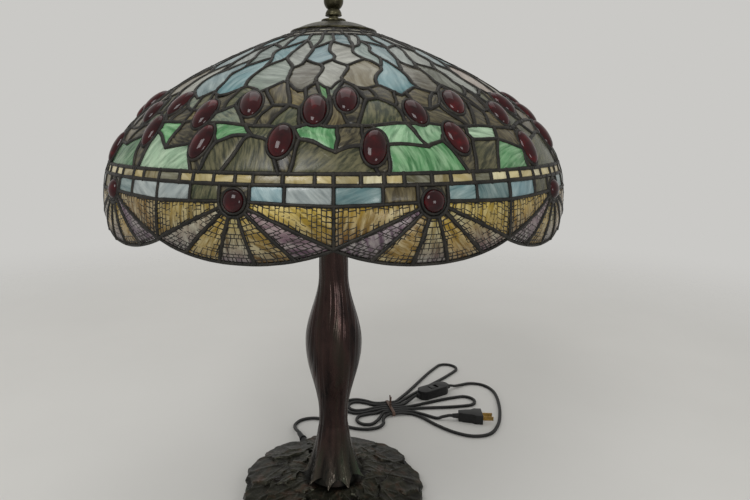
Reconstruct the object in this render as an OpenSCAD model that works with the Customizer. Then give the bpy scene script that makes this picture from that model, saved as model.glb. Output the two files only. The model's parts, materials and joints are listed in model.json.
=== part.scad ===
// Table lamp: cast base and stem, three sockets under a leaded glass dome,
// and a mains lead with loops, an in-line switch and a plug.
// Millimetres, +Z up, origin in the middle of the underside.

/* [Base] */
// Diameter of the cast base
base_d = 242; // [230:1:260]
// Height of the edge of the base above the table
base_edge_h = 10; // [8:0.5:13]
// Height of the boss of the base, where the stem stands
base_h = 52; // [48:1:60]
// Height of the base round the boss, where the foot of the stem comes down
foot_h = 26; // [25:0.5:30]
// Wall of the base casting
base_wall = 5; // [4:0.5:6]
// Number of leaf pads round the edge of the base
leaf_count = 16; // [12:1:18]
// Radius of a leaf pad
leaf_r = 21; // [16:1:24]
// How far the leaf pads stand out past the round casting
leaf_reach = 2; // [1:0.5:3]
// Thickness of the felt under the base
felt_t = 2; // [1:0.5:3]
// Thickness of the cover plate inside the felt
cover_t = 1.2; // [0.8:0.1:2]

/* [Stem] */
// Height of the stem above the boss
stem_h = 288; // [270:1:310]
// Radius of the foot of the stem
foot_r = 38; // [34:1:44]
// Radius of the waist of the stem
waist_r = 18.3; // [16:0.1:22]
// Height of the top of the waist above the boss
waist_up = 60; // [50:1:68]
// Length of the straight waist
waist_l = 26; // [20:1:30]
// Radius of the belly of the stem
belly_r = 35.2; // [30:0.1:42]
// Height of the belly above the boss
belly_up = 158; // [140:1:170]
// Radius of the neck of the stem
neck_r = 17.6; // [15:0.1:22]
// Height of the neck above the boss
neck_up = 248; // [235:1:262]
// Wall of the stem casting
stem_wall = 4; // [3:0.5:5]

/* [Fitting] */
// Outer diameter of the threaded pipe
pipe_d = 12.6; // [11:0.1:14]
// Bore of the threaded pipe
pipe_bore = 8.6; // [7.5:0.1:9]
// Thickness of the collar on the stem
collar_t = 8; // [5:0.5:12]
// Height of the middle of the socket cluster above the stem
cluster_up = 55; // [48:1:65]
// Radius of the cluster body
cluster_r = 20; // [18:0.5:24]
// Half of the height of the cluster body
cluster_half = 17; // [14:0.5:20]
// Distance from the middle of the cluster to a socket
arm_l = 30; // [28:1:36]
// Radius of a cluster arm
arm_r = 8; // [6:0.5:10]
// Angle of the sockets above the horizontal
socket_tilt = 25; // [15:1:30]
// Radius of a socket shell
socket_r = 17; // [16:0.5:19]
// Length of a socket shell
socket_l = 50; // [45:1:55]
// Radius of the screw base of a bulb
bulb_base_r = 13; // [12.5:0.1:13.5]
// Length of the screw base of a bulb
bulb_base_l = 25; // [22:1:28]
// Largest radius of a bulb
bulb_r = 30; // [26:1:32]
// Length of a bulb above its screw base
bulb_l = 84; // [76:1:90]
// Diameter of the riser rod that carries the shade
riser_d = 8; // [7:0.1:9]

/* [Shade] */
// Largest diameter of the shade
shade_d = 509; // [480:1:530]
// Diameter of the round opening in the crown
aperture_d = 94; // [88:1:100]
// Height of the dome from its widest course to the crown
dome_h = 182; // [170:1:195]
// Roundness of the dome, as the power of its curve
dome_power = 2.4; // [2.2:0.05:2.6]
// Height of the skirt under the widest course
skirt_h = 26; // [22:1:30]
// How far the skirt turns in
skirt_in = 4; // [2:0.5:6]
// Height of the crown of the shade above the stem
crown_up = 235; // [225:1:250]
// Number of tiles round the crown, half of those in the courses below
crown_count = 20; // [16:2:24]
// Number of jewels in the upper jewel course
upper_jewels = 30; // [24:1:32]
// Number of jewels in the lower jewel course
lower_jewels = 20; // [16:1:24]
// Number of scallops round the rim
lobe_count = 10; // [8:1:12]
// Height of the scallops
wave_h = 15; // [10:1:18]
// Slope length of the border above the rim
border_len = 64; // [60:1:70]
// How far down the border its fans begin at the sides
fan_top = 16; // [14:1:26]
// Slope length of the bead belt above the border
belt_len = 9; // [8:0.5:12]
// Slope length of each of the two jewel courses
jewel_course = 45; // [42:1:48]
// Slope length of the crown course
crown_course = 12; // [10:0.5:16]
// Length of an oval jewel
jewel_l = 34; // [30:1:35]
// Width of an oval jewel
jewel_w = 19; // [16:0.5:20]
// Diameter of a round hub jewel
hub_jewel_d = 18; // [14:0.5:20]
// Thickness of the glass
glass_t = 3; // [2.5:0.1:3.5]
// Width of a lead line between two tiles
lead_w = 4.2; // [3.6:0.1:5]
// Width of a lead line in the border
border_lead_w = 3.2; // [2.8:0.1:3.6]
// Thickness of the lead over the glass
lead_t = 1.3; // [0.8:0.1:1.8]
// Diameter of the wire along the rim
rim_wire_d = 3.4; // [2.5:0.1:4]

/* [Cap and finial] */
// Height of the vase cap
cap_h = 17; // [15:0.5:20]
// Wall of the vase cap
cap_wall = 1.5; // [1:0.1:2]
// Radius of the knob on top of the vase cap
knob_r = 14; // [12:0.5:16]
// Height of the knob on top of the vase cap
knob_h = 4; // [3:0.5:5]
// Height of the finial
finial_h = 38; // [34:1:44]
// Radius of the ball of the finial
finial_r = 11; // [9.5:0.5:12]

/* [Lead, switch and plug] */
// Diameter of the mains lead
cord_d = 5.2; // [4.8:0.1:5.4]
// Angle at which the lead leaves the base
exit_angle = 112; // [108:1:116]
// Height of the lead where it leaves the base
exit_h = 8.6; // [8.4:0.1:9]
// Length of the strain relief sleeve outside the base
sleeve_l = 21; // [20:1:24]
// Length of the switch body
switch_l = 64; // [60:1:68]
// Width of the switch body
switch_w = 24; // [22:1:26]
// Height of the switch body
switch_h = 16; // [15.6:0.1:17]
// Wall of the switch shells
switch_wall = 2; // [1.6:0.1:2.2]
// Swing of the rocker
rocker_swing = 24; // [18:1:26]
// Length of the plug body
plug_l = 38; // [34:1:42]
// Width of the plug body
plug_w = 26; // [24:1:28]
// Height of the plug body
plug_h = 16; // [14:1:18]
// Length of the plug blades
blade_l = 17.5; // [16:0.5:18]

/* [Hidden] */
$fn = 48;

// Clearances: between bodies, between a shaft and its bore, between pieces of one body
gap = 0.3;
running = 0.08;
seat = 0.05;

// Heights
stem_top = base_h + stem_h;
cluster_z = stem_top + cluster_up;
crown_z = stem_top + crown_up;

// Base and stem
base_r = base_d / 2;
rim_ring = 8;
hollow_r = base_r - rim_ring;
cavity_r = 20;
boss_clear = 0.8;
boss_t = 16;
boss_z = base_h - boss_t;
pipe_r = pipe_d / 2;
washer_t = 2;
nut_t = 8;
lock_nut_t = 6;
nut_r = pipe_r * 1.75;
pipe_low = boss_z - washer_t - nut_t - 2;
mound_power = 0.6;
mound_steps = 8;
exit_boss_r = exit_h - felt_t;
sleeve_r = cord_d / 2 + 1.6;
stem_top_r = 17;

function mound(r) = r <= foot_r ? foot_h
    : base_edge_h + (foot_h - base_edge_h) * pow((base_r - r) / (base_r - foot_r), mound_power);
function ease(t) = (1 - cos(180 * t)) / 2;

// Stem: a flare from the foot up to the waist, then stations (height above the boss, radius)
// that are eased from one to the next
flare_power = 1.8;
flare_top = base_h + waist_up - waist_l;
function flare_r(z) = waist_r + (foot_r - waist_r) * pow((flare_top - z) / (flare_top - foot_h), flare_power);
stem_stations = [[waist_up, waist_r], [belly_up, belly_r], [neck_up, neck_r], [stem_h, stem_top_r]];
stem_steps = 7;
stem_flare = [
    for (k = [0:stem_steps])
    let (z = foot_h + (flare_top - foot_h) * k / stem_steps)
    [flare_r(z), z]
];
stem_eased = [
    for (i = [0:len(stem_stations) - 2])
    for (k = [0:stem_steps - 1])
    let (a = stem_stations[i], b = stem_stations[i + 1], t = k / stem_steps)
    [a[1] + (b[1] - a[1]) * ease(t), base_h + a[0] + (b[0] - a[0]) * t]
];
stem_line = concat(stem_flare, stem_eased);
stem_core_r = pipe_r + 1.5;
stem_floor = 8;

// Sockets
socket_count = 3;
socket_turn = 30;
socket_wall = 1.2;
socket_floor = 3;
contact_t = 4;
contact_r = 3.5;
liner_l = 28;
liner_floor = 3;
socket_mouth = arm_l + socket_l;
bulb_low = arm_l + socket_floor + contact_t + gap;
bulb_neck = bulb_low + bulb_base_l;
bulb_wall = 1.2;

// Shade profile: u runs from the crown (0) over the widest course (1) to the rim
shade_r = shade_d / 2;
aperture_r = aperture_d / 2;
skirt_u = skirt_h / dome_h;
rim_u = 1 + skirt_u;
table_steps = 90;
table_u = rim_u + 0.05;

function dome_r(u) = u <= 1
    ? aperture_r + (shade_r - aperture_r) * (1 - pow(1 - u, dome_power))
    : shade_r - skirt_in * pow((u - 1) / skirt_u, 2);
function dome_z(u) = crown_z - u * dome_h;
function table_at(i) = i * table_u / table_steps;
function table_step(i) = norm([
    dome_r(table_at(i + 1)) - dome_r(table_at(i)), dome_z(table_at(i + 1)) - dome_z(table_at(i))
]);

// Slope length down the dome against u, and the way back
slope_table = [
    for (i = 0, sum = 0; i <= table_steps; sum = sum + table_step(i), i = i + 1) [sum, table_at(i)]
];
rim_s = lookup(rim_u, [for (row = slope_table) [row[1], row[0]]]);

function radius_at(s) = dome_r(lookup(s, slope_table));
function degrees_at(x, s) = x / radius_at(s) * 180 / PI;
function on_dome(p) =
    let (u = lookup(p[0], slope_table), r = dome_r(u))
    [r * cos(p[1]), r * sin(p[1]), dome_z(u)];

// Courses, as slope lengths from the crown
crown_s = 1.5;
pale_s = crown_s + crown_course;
border_s = rim_s - border_len;
belt_s = border_s - belt_len;
green_s = belt_s - jewel_course;
olive_s = green_s - jewel_course;
pale_len = olive_s - pale_s;
shield_s = pale_s + 0.34 * pale_len;
shield_side_s = pale_s + 0.6 * pale_len;
shield_tip_s = pale_s + 0.72 * pale_len;

crown_step = 360 / crown_count;
fine_step = crown_step / 2;
belt_count = 2 * crown_count;

// A tile is a list of corners, each a slope length and an angle
crown_tiles = [for (k = [0:crown_count - 1]) let (a = k * crown_step) [
    [crown_s, a], [pale_s, a], [pale_s, a + crown_step], [crown_s, a + crown_step]
]];
panel_tiles = [for (k = [0:crown_count - 1]) let (a = (k + 0.5) * crown_step) [
    [pale_s, a], [shield_s, a], [shield_s, a + crown_step], [pale_s, a + crown_step]
]];
shield_tiles = [for (k = [0:2 * crown_count - 1]) let (a = k * fine_step) [
    [shield_s, a], [shield_side_s, a], [shield_tip_s, a + fine_step / 2],
    [shield_side_s, a + fine_step], [shield_s, a + fine_step]
]];
spear_tiles = [for (k = [0:2 * crown_count - 1]) let (a = (k + 0.5) * fine_step) [
    [shield_tip_s, a], [olive_s, a], [olive_s, a + fine_step],
    [shield_tip_s, a + fine_step], [shield_side_s, a + fine_step / 2]
]];
belt_tiles = [for (k = [0:belt_count - 1]) let (a = k * 360 / belt_count, b = a + 360 / belt_count) [
    [belt_s, a], [border_s, a], [border_s, b], [belt_s, b]
]];

// Jewel courses: a six-sided jewel cell and two pieces of glass in each step
cell_end_w = 4;
cell_w = jewel_w / 2 + 3.2;
function jewel_cell(top, a) =
    let (
        low = top + jewel_course, mid = top + jewel_course / 2,
        t = degrees_at(cell_end_w, top), m = degrees_at(cell_w, mid), l = degrees_at(cell_end_w, low)
    )
    [[top, a - t], [mid, a - m], [low, a - l], [low, a + l], [mid, a + m], [top, a + t]];
function between_cells(from, to, half_from, half_to, a, step) =
    let (f = degrees_at(half_from, from), t = degrees_at(half_to, to))
    [[from, a + f], [to, a + t], [to, a + step - t], [from, a + step - f]];
function jewel_course_glass(top, count, turn) = [
    for (k = [0:count - 1])
    let (step = 360 / count, a = k * step + turn, mid = top + jewel_course / 2)
    each [
        between_cells(top, mid, cell_end_w, cell_w, a, step),
        between_cells(mid, top + jewel_course, cell_w, cell_end_w, a, step)
    ]
];
function jewel_course_cells(top, count, turn) = [
    for (k = [0:count - 1]) jewel_cell(top, k * 360 / count + turn)
];
lower_turn = 180 / lower_jewels;
olive_tiles = jewel_course_glass(olive_s, upper_jewels, 0);
green_tiles = jewel_course_glass(green_s, lower_jewels, lower_turn);
jewel_cells = concat(
    jewel_course_cells(olive_s, upper_jewels, 0), jewel_course_cells(green_s, lower_jewels, lower_turn)
);

// Border: one fan of seven petals in each scallop, round a hub jewel
lobe_step = 360 / lobe_count;
lobe_half = PI * shade_r / lobe_count;
wave_power = 2.2;
hub_half = hub_jewel_d / 2 + 4.2;
hub_s = border_s + hub_half;
spandrel_x = 0.52 * lobe_half;

function rim_at(x) = rim_s - wave_h * pow(abs(x) / lobe_half, wave_power);
function border_corner(x, s, lobe) = [s, lobe * lobe_step + x / shade_r * 180 / PI];
// Where the rays of one half of a fan end: on the rim, at its corner, and up the side of the scallop
ray_ends = [
    [0.2 * lobe_half, rim_at(0.2 * lobe_half)], [0.62 * lobe_half, rim_at(0.62 * lobe_half)],
    [lobe_half, rim_at(lobe_half)], [lobe_half, border_s + fan_top]
];
hub = [0, hub_s];
function mirrored(p) = [-p.x, p.y];
function ray_point(end, r) = hub + r * unit(end - hub);
function top_ray_s(x) = hub_s + x * (ray_ends[3].y - hub_s) / lobe_half;
hub_reach = norm([hub_half, top_ray_s(hub_half) - hub_s]);

function border_tile(points, lobe) = [for (p = points) border_corner(p[0], p[1], lobe)];
function petal_points(from, to) = [ray_point(from, hub_reach), from, to, ray_point(to, hub_reach)];
function petal_pair(i, lobe) = [
    border_tile(petal_points(ray_ends[i], ray_ends[i + 1]), lobe),
    border_tile(petal_points(mirrored(ray_ends[i + 1]), mirrored(ray_ends[i])), lobe)
];
function spandrel_points(from, to, side) = [
    [side * from, border_s], [side * from, top_ray_s(from)],
    [side * to, top_ray_s(to)], [side * to, border_s]
];
hub_points = concat(
    [[-hub_half, border_s]],
    [for (i = [3:-1:0]) ray_point(mirrored(ray_ends[i]), hub_reach)],
    [for (end = ray_ends) ray_point(end, hub_reach)],
    [[hub_half, border_s]]
);
lobes = [0:lobe_count - 1];
amber_tiles = [for (lobe = lobes) each concat(petal_pair(0, lobe), petal_pair(2, lobe))];
violet_tiles = [
    for (lobe = lobes)
    each concat([border_tile(petal_points(mirrored(ray_ends[0]), ray_ends[0]), lobe)], petal_pair(1, lobe))
];
spandrel_tiles = [
    for (lobe = lobes) for (side = [-1, 1])
    each [
        border_tile(spandrel_points(hub_half, spandrel_x, side), lobe),
        border_tile(spandrel_points(spandrel_x, lobe_half, side), lobe)
    ]
];
hub_cells = [for (lobe = lobes) border_tile(hub_points, lobe)];

// Flat tile geometry: its frame on the dome, and its outline in that frame
glass_inset = 1;
lead_inset = 0.3;

function unit(v) = v / norm(v);
function mean(list) = list * [for (v = list) 1] / len(list);
function tile_middle(tile) = [mean([for (c = tile) c[0]]), mean([for (c = tile) c[1]])];
function tile_axes(tile) =
    let (
        m = tile_middle(tile),
        down = unit(on_dome([m[0] + 0.5, m[1]]) - on_dome([m[0] - 0.5, m[1]])),
        side = [-sin(m[1]), cos(m[1]), 0]
    )
    [down, side, cross(down, side)];
function tile_frame(tile) =
    let (
        axes = tile_axes(tile), middle = on_dome(tile_middle(tile)),
        rise = mean([for (c = tile) (on_dome(c) - middle) * axes[2]]),
        o = middle + rise * axes[2]
    )
    [for (i = [0:2]) [axes[0][i], axes[1][i], axes[2][i], o[i]]];
function tile_flat(tile) =
    let (axes = tile_axes(tile), middle = on_dome(tile_middle(tile)))
    turned_left([for (c = tile) let (d = on_dome(c) - middle) [d * axes[0], d * axes[1]]]);
function area(p) = mean([
    for (i = [0:len(p) - 1]) let (q = p[(i + 1) % len(p)]) p[i].x * q.y - q.x * p[i].y
]);
function turned_left(p) = area(p) > 0 ? p : [for (i = [len(p) - 1:-1:0]) p[i]];
// The outline with every edge moved inwards by d
function inset(p, d) = [
    for (i = [0:len(p) - 1])
    let (
        a = unit(p[i] - p[(i + len(p) - 1) % len(p)]), b = unit(p[(i + 1) % len(p)] - p[i]),
        na = [-a.y, a.x], nb = [-b.y, b.x]
    )
    p[i] + d * (na + nb) / (1 + na * nb)
];
function ellipse_points(a, b, n) = [for (k = [0:n - 1]) [a * cos(360 * k / n), b * sin(360 * k / n)]];

// Cap and finial
ring_wall = 4;
ring_h = 4;
hub_r = 9;
hub_t = 3;
arm_w = 8;
finial_z = crown_z + cap_h + gap;
riser_r = riser_d / 2;
riser_top = finial_z + finial_h * 0.45;

// Lead: places on the table are chosen by hand
cord_r = cord_d / 2;
lie_z = cord_r + 0.05;
tie_t = 1;
tie_z = tie_t + gap + cord_r;
strand_pitch = cord_d + 1.6;
tie_place = [97, 223];
tie_angle = 10;
tie_half = 14;
switch_place = [179.5, 280.5];
switch_angle = 31;
switch_collar = 5;
cord_in_h = switch_h / 2;
plug_place = [206, 188];
plug_angle = -4;
plug_collar = 10;
exit_reach = base_r + sleeve_l;

function turned(angle, reach) = [reach * cos(angle), reach * sin(angle)];
function at_height(p, z) = [p.x, p.y, z];
function exit_point(extra) = at_height(turned(exit_angle, exit_reach + extra), exit_h);
function switch_point(x) = at_height(switch_place + turned(switch_angle, x), cord_in_h);
function plug_point(x) = at_height(plug_place + turned(plug_angle, x), plug_h / 2);
function strand_v(i) = (4 - i) * strand_pitch;
function tie_point(x, v, z) =
    at_height(tie_place + turned(tie_angle, x) + turned(tie_angle + 90, v), z);
function strand(i, from) = [
    for (x = [from, 0, -from]) tie_point(x * tie_half, strand_v(i), tie_z)
];

// A loop of cord from one strand to another: drawn in at the tie, round at its tip
function petal_side(long, wide, v0) =
    let (n = max(3, round((long - wide) / 20)))
    [for (k = [1:n - 1]) [(long - wide) * k / n, v0 + (wide - v0) * ease(k / n)]];
function reversed(list) = [for (i = [len(list) - 1:-1:0]) list[i]];
function petal_outline(long, wide, v0) = concat(
    petal_side(long, wide, v0),
    [for (t = [90:-30:-90]) [long - wide + wide * cos(t), wide * sin(t)]],
    reversed([for (p = petal_side(long, wide, v0)) [p.x, -p.y]])
);
function petal(first, last, end, angle, long, wide) =
    let (
        high = max(strand_v(first), strand_v(last)), low = min(strand_v(first), strand_v(last)),
        line = petal_outline(long, wide, (high - low) / 2),
        run = strand_v(first) > strand_v(last) ? line : reversed(line)
    )
    [for (p = run) tie_point(
        end * (tie_half + p.x * cos(angle) - p.y * sin(angle)),
        (high + low) / 2 + p.x * sin(angle) + p.y * cos(angle), lie_z
    )];

lead_drop = [-60, 150];
lead_to_tie = [
    [-62, 168], [-52, 184], [-32, 190], [-10, 183], [10, 170], [31, 158], [54, 154], [72, 160], [81, 172],
    [82, 184], [85, 194]
];
lead_to_switch = [
    [132, 204], [148, 191], [166, 168], [190, 145], [218, 133], [246, 140], [266, 168],
    [280, 207], [289, 250], [291, 288], [280, 314], [257, 323]
];
tail_to_plug = [[131, 213], [149, 204]];
plug_ramp = 20.8;
ramp_z = 4.2;
drop_z = 5.6;
lead_route = concat(
    [exit_point(0), exit_point(cord_d), at_height(lead_drop, drop_z)],
    [for (p = lead_to_tie) at_height(p, lie_z)],
    [for (x = [-0.5, 0, 1]) tie_point(x * tie_half, strand_v(7), tie_z)],
    [for (p = lead_to_switch) at_height(p, lie_z)],
    [at_height(switch_point(switch_l / 2 + 24), ramp_z)],
    [switch_point(switch_l / 2 + switch_collar + cord_d), switch_point(switch_l / 2 + switch_collar)]
);
hank_route = concat(
    [switch_point(-switch_l / 2 - switch_collar), switch_point(-switch_l / 2 - switch_collar - cord_d)],
    [at_height([124, 242], lie_z)],
    strand(3, 1), petal(3, 2, -1, 12, 56, 16), strand(2, -1), petal(2, 1, 1, 42, 210, 19),
    strand(1, 1), petal(1, 4, -1, 12, 66, 25), strand(4, -1), petal(4, 5, 1, 4, 140, 17),
    strand(5, 1), petal(5, 6, -1, -30, 56, 16), strand(6, -1),
    [for (p = tail_to_plug) at_height(p, lie_z)],
    [at_height(plug_point(-plug_collar - cord_d - plug_ramp), lie_z)],
    [at_height(plug_point(-plug_collar - cord_d - plug_ramp / 2), (lie_z + plug_h / 2) / 2)],
    [plug_point(-plug_collar - cord_d), plug_point(-plug_collar)]
);

// A smooth curve through the points, with a number of steps from each to the next
function smooth(p, steps) = [
    for (i = [0:len(p) - 2]) for (k = [0:steps - (i == len(p) - 2 ? 0 : 1)])
    let (
        t = k / steps, b = p[i], c = p[i + 1],
        a = i > 0 ? p[i - 1] : 2 * b - c, d = i < len(p) - 2 ? p[i + 2] : 2 * c - b
    )
    b + t * (c - a) / 2 + t * t * (a - 2.5 * b + 2 * c - d / 2)
        + t * t * t * (1.5 * b - a / 2 - 1.5 * c + d / 2)
];
function path_length(p, i = 0, sum = 0) =
    i >= len(p) - 1 ? sum : path_length(p, i + 1, sum + norm(p[i + 1] - p[i]));
function least_gap(p, apart) = min([
    for (i = [0:len(p) - 1]) for (j = [i + apart:1:len(p) - 1]) norm(p[i] - p[j])
]);
cord_steps = 2;
lead_path = smooth(lead_route, cord_steps);
hank_path = smooth(hank_route, cord_steps);
gap_apart = 8;
fine_gap = least_gap(smooth(hank_route, 4), 2 * gap_apart) - cord_d;

// A tube along a path, as rings of points
function ring(at, along, r, sides) =
    let (side = unit(cross(along, [0, 0, 1])), up = cross(side, along))
    [for (k = [0:sides - 1]) at + r * (cos(360 * k / sides) * side + sin(360 * k / sides) * up)];
function along_at(p, i, closed) =
    let (
        n = len(p),
        a = closed ? (i + n - 1) % n : max(i - 1, 0),
        b = closed ? (i + 1) % n : min(i + 1, n - 1)
    )
    unit(p[b] - p[a]);

module tube(path, r, sides, closed = false) {
    n = len(path);
    rows = closed ? n : n - 1;
    points = [for (i = [0:n - 1]) each ring(path[i], along_at(path, i, closed), r, sides)];
    walls = [
        for (i = [0:rows - 1]) for (k = [0:sides - 1])
        let (a = i * sides, b = ((i + 1) % n) * sides, l = (k + 1) % sides)
        each [[a + k, b + k, b + l], [a + k, b + l, a + l]]
    ];
    last = (n - 1) * sides;
    ends = closed ? [] : [
        for (k = [1:sides - 2]) each [[0, k, k + 1], [last, last + k + 1, last + k]]
    ];
    polyhedron(points, concat(walls, ends));
}

module pipe(r, bore, low, high) {
    translate([0, 0, low]) difference() {
        cylinder(r = r, h = high - low);
        translate([0, 0, -1]) cylinder(r = bore, h = high - low + 2);
    }
}

module hex_nut(r, bore, low, high) {
    translate([0, 0, low]) difference() {
        cylinder(r = r, h = high - low, $fn = 6);
        translate([0, 0, -1]) cylinder(r = bore, h = high - low + 2, $fn = 48);
    }
}

// Base
module felt_pad() {
    color("darkolivegreen") cylinder(r = base_r - 4, h = felt_t);
}

module bottom_cover() {
    color("dimgray") translate([0, 0, felt_t]) cylinder(r = hollow_r - gap, h = cover_t);
}

// The line of the foot of the stem, a wall further in, from the base up to the boss
function under_skirt(thin) = [
    for (k = [0:mound_steps])
    let (z = foot_h + (base_h - foot_h) * k / mound_steps)
    [flare_r(z) - thin, z]
];

module base_profile() {
    bore = pipe_r + seat;
    chamfer = 2;
    outer = [
        for (k = [0:mound_steps])
        let (r = base_r - (base_r - foot_r) * k / mound_steps)
        [r, mound(r)]
    ];
    inner = [
        for (k = [0:mound_steps])
        let (r = foot_r + (hollow_r - foot_r) * k / mound_steps)
        [r, mound(r) - base_wall]
    ];
    polygon(concat(
        [[hollow_r, felt_t], [base_r - chamfer, felt_t], [base_r, felt_t + chamfer]], outer,
        under_skirt(stem_wall + boss_clear),
        [[bore, base_h], [bore, boss_z], [cavity_r, boss_z], [cavity_r, foot_h - base_wall]], inner
    ));
}

module lamp_base() {
    color("saddlebrown") difference() {
        union() {
            rotate_extrude() base_profile();
            for (k = [0:leaf_count - 1])
                rotate([0, 0, 360 * (k + 0.5) / leaf_count])
                translate([base_r + leaf_reach - leaf_r, 0, felt_t])
                intersection() {
                    cylinder(r = leaf_r, h = base_edge_h);
                    translate([leaf_r - rim_ring - leaf_reach, -leaf_r, 0])
                        cube([2 * leaf_r, 2 * leaf_r, base_edge_h]);
                }
            rotate([0, 0, exit_angle]) translate([hollow_r, 0, exit_h]) rotate([0, 90, 0])
                cylinder(r = exit_boss_r, h = base_r + leaf_reach - hollow_r);
        }
        rotate([0, 0, exit_angle]) translate([hollow_r - 25, 0, exit_h]) rotate([0, 90, 0])
            cylinder(r = sleeve_r + seat, h = 40);
    }
}

module base_washer() {
    color("silver") pipe(nut_r + 3, pipe_r + seat, boss_z - washer_t, boss_z);
}

module base_nut() {
    color("goldenrod") hex_nut(nut_r, pipe_r + seat, boss_z - washer_t - nut_t, boss_z - washer_t);
}

// Stem
module stem() {
    bore = pipe_r + seat;
    core = [
        for (p = reversed(stem_line))
        if (p[1] > base_h + stem_floor && p[1] < stem_top - stem_floor)
        [max(stem_core_r, p[0] - stem_wall), p[1]]
    ];
    color("saddlebrown") rotate_extrude() polygon(concat(
        stem_line, [[stem_top_r, stem_top], [bore, stem_top], [bore, stem_top - stem_floor]],
        core, [[bore, base_h + stem_floor], [bore, base_h]], reversed(under_skirt(stem_wall))
    ));
}

module threaded_pipe() {
    color("goldenrod") pipe(pipe_r, pipe_bore / 2, pipe_low, cluster_z - 5);
}

module stem_collar() {
    bore = pipe_r + seat;
    brim_r = stem_top_r + 3;
    color("peru") translate([0, 0, stem_top]) rotate_extrude() polygon([
        [bore, 0], [brim_r, 0], [brim_r, collar_t * 0.35], [stem_top_r, collar_t * 0.5],
        [stem_top_r - 2, collar_t], [bore, collar_t]
    ]);
}

module collar_nut() {
    color("goldenrod") hex_nut(nut_r, pipe_r + seat, stem_top + collar_t, stem_top + collar_t + lock_nut_t);
}

// Socket cluster and riser
module on_socket(i) {
    translate([0, 0, cluster_z]) rotate([0, 0, socket_turn + 360 * i / socket_count])
        rotate([0, 90 - socket_tilt, 0]) children();
}

module cluster_body() {
    color("peru") difference() {
        union() {
            translate([0, 0, cluster_z - cluster_half]) cylinder(r = cluster_r, h = 2 * cluster_half);
            for (i = [0:socket_count - 1]) on_socket(i) cylinder(r = arm_r, h = arm_l);
        }
        translate([0, 0, cluster_z - cluster_half - 1])
            cylinder(r = pipe_r + seat, h = 2 * cluster_half - 7);
        translate([0, 0, cluster_z]) cylinder(r = riser_r + seat, h = cluster_half + 1);
        for (i = [0:socket_count - 1]) on_socket(i) cylinder(r = contact_r, h = arm_l + 1);
    }
}

module riser_rod() {
    color("goldenrod") translate([0, 0, cluster_z + cluster_half - 8])
        cylinder(r = riser_r, h = riser_top - cluster_z - cluster_half + 8);
}

module riser_nut() {
    low = cluster_z + cluster_half;
    color("goldenrod") hex_nut(riser_r * 1.9, riser_r + seat, low, low + lock_nut_t);
}

module shade_seat() {
    high = crown_z - ring_h - gap;
    color("goldenrod") pipe(hub_r, riser_r + seat, high - 4, high);
}

module inner_cord() {
    bend = 16;
    color("black") {
        translate([0, 0, exit_h + bend]) cylinder(r = cord_r, h = cluster_z - 10 - exit_h - bend);
        rotate([0, 0, exit_angle]) {
            translate([bend, 0, exit_h + bend]) rotate([90, 0, 0])
                rotate_extrude(angle = 90, start = 180) translate([bend, 0]) circle(r = cord_r);
            translate([bend, 0, exit_h]) rotate([0, 90, 0]) cylinder(r = cord_r, h = exit_reach - bend);
        }
    }
}

module socket_shell(i) {
    inner = socket_r - socket_wall;
    color("peru") on_socket(i) rotate_extrude() polygon([
        [contact_r, arm_l], [socket_r - 3, arm_l], [socket_r, arm_l + 5], [socket_r, socket_mouth],
        [inner, socket_mouth], [inner, arm_l + socket_floor + 4], [socket_r - 5, arm_l + socket_floor],
        [contact_r, arm_l + socket_floor]
    ]);
}

module socket_liner(i) {
    low = arm_l + socket_floor;
    outer = bulb_base_r + 1.5;
    color("gold") on_socket(i) rotate_extrude() polygon([
        [contact_r + gap, low], [socket_r - 5.5, low], [outer, low + 5], [outer, low + liner_l],
        [bulb_base_r + running, low + liner_l], [bulb_base_r + running, low + liner_floor],
        [contact_r + gap, low + liner_floor]
    ]);
}

module socket_contacts() {
    color("gold") for (i = [0:socket_count - 1]) on_socket(i)
        translate([0, 0, arm_l + socket_floor]) cylinder(r = contact_r, h = contact_t);
}

module bulb_base(i) {
    color("silver") on_socket(i) translate([0, 0, bulb_low]) cylinder(r = bulb_base_r, h = bulb_base_l);
}

function bulb_line(thin) =
    let (from = socket_mouth + 2 - bulb_neck, round_z = bulb_l - bulb_r, neck = bulb_base_r + 0.8)
    concat(
        [[bulb_base_r - 1 - thin, bulb_neck], [neck - thin, bulb_neck + from]],
        [for (k = [1:4]) let (t = k / 4)
            [neck + (bulb_r - neck) * ease(t) - thin, bulb_neck + from + (round_z - from) * t]],
        [for (t = [15:15:90]) [(bulb_r - thin) * cos(t), bulb_neck + round_z + (bulb_r - thin) * sin(t)]]
    );

module bulb_glass(i) {
    color("ivory") on_socket(i) rotate_extrude()
        polygon(concat(bulb_line(0), reversed(bulb_line(bulb_wall))));
}

// Crown of the shade
module aperture_ring() {
    color("peru") pipe(aperture_r, aperture_r - ring_wall, crown_z - ring_h, crown_z);
}

module spider() {
    color("goldenrod") difference() {
        union() {
            translate([0, 0, crown_z - ring_h]) cylinder(r = hub_r, h = hub_t);
            for (k = [0:2]) rotate([0, 0, 120 * k]) translate([0, -arm_w / 2, crown_z - ring_h])
                cube([aperture_r - ring_wall - gap, arm_w, hub_t]);
        }
        translate([0, 0, crown_z - ring_h - 1]) cylinder(r = riser_r + running, h = hub_t + 2);
    }
}

// The cap's round shoulder from the aperture up to the knob, and the same line a wall further in
cap_steps = 8;
cap_power = 1.63;
function cap_line(thin) = [
    for (k = [0:cap_steps]) let (t = 1 - k / cap_steps, rise = (cap_h - knob_h) * (1 - pow(t, cap_power)))
    [knob_r + (aperture_r - knob_r) * t - thin, max(crown_z, crown_z + rise - thin)]
];

module vase_cap() {
    top = crown_z + cap_h;
    bore = riser_r + gap;
    color("peru") rotate_extrude() polygon(concat(
        cap_line(0), [[knob_r, top - knob_h / 2], [knob_r / 2, top]],
        [[bore, top], [bore, top - knob_h - cap_wall]], reversed(cap_line(cap_wall))
    ));
}

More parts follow.
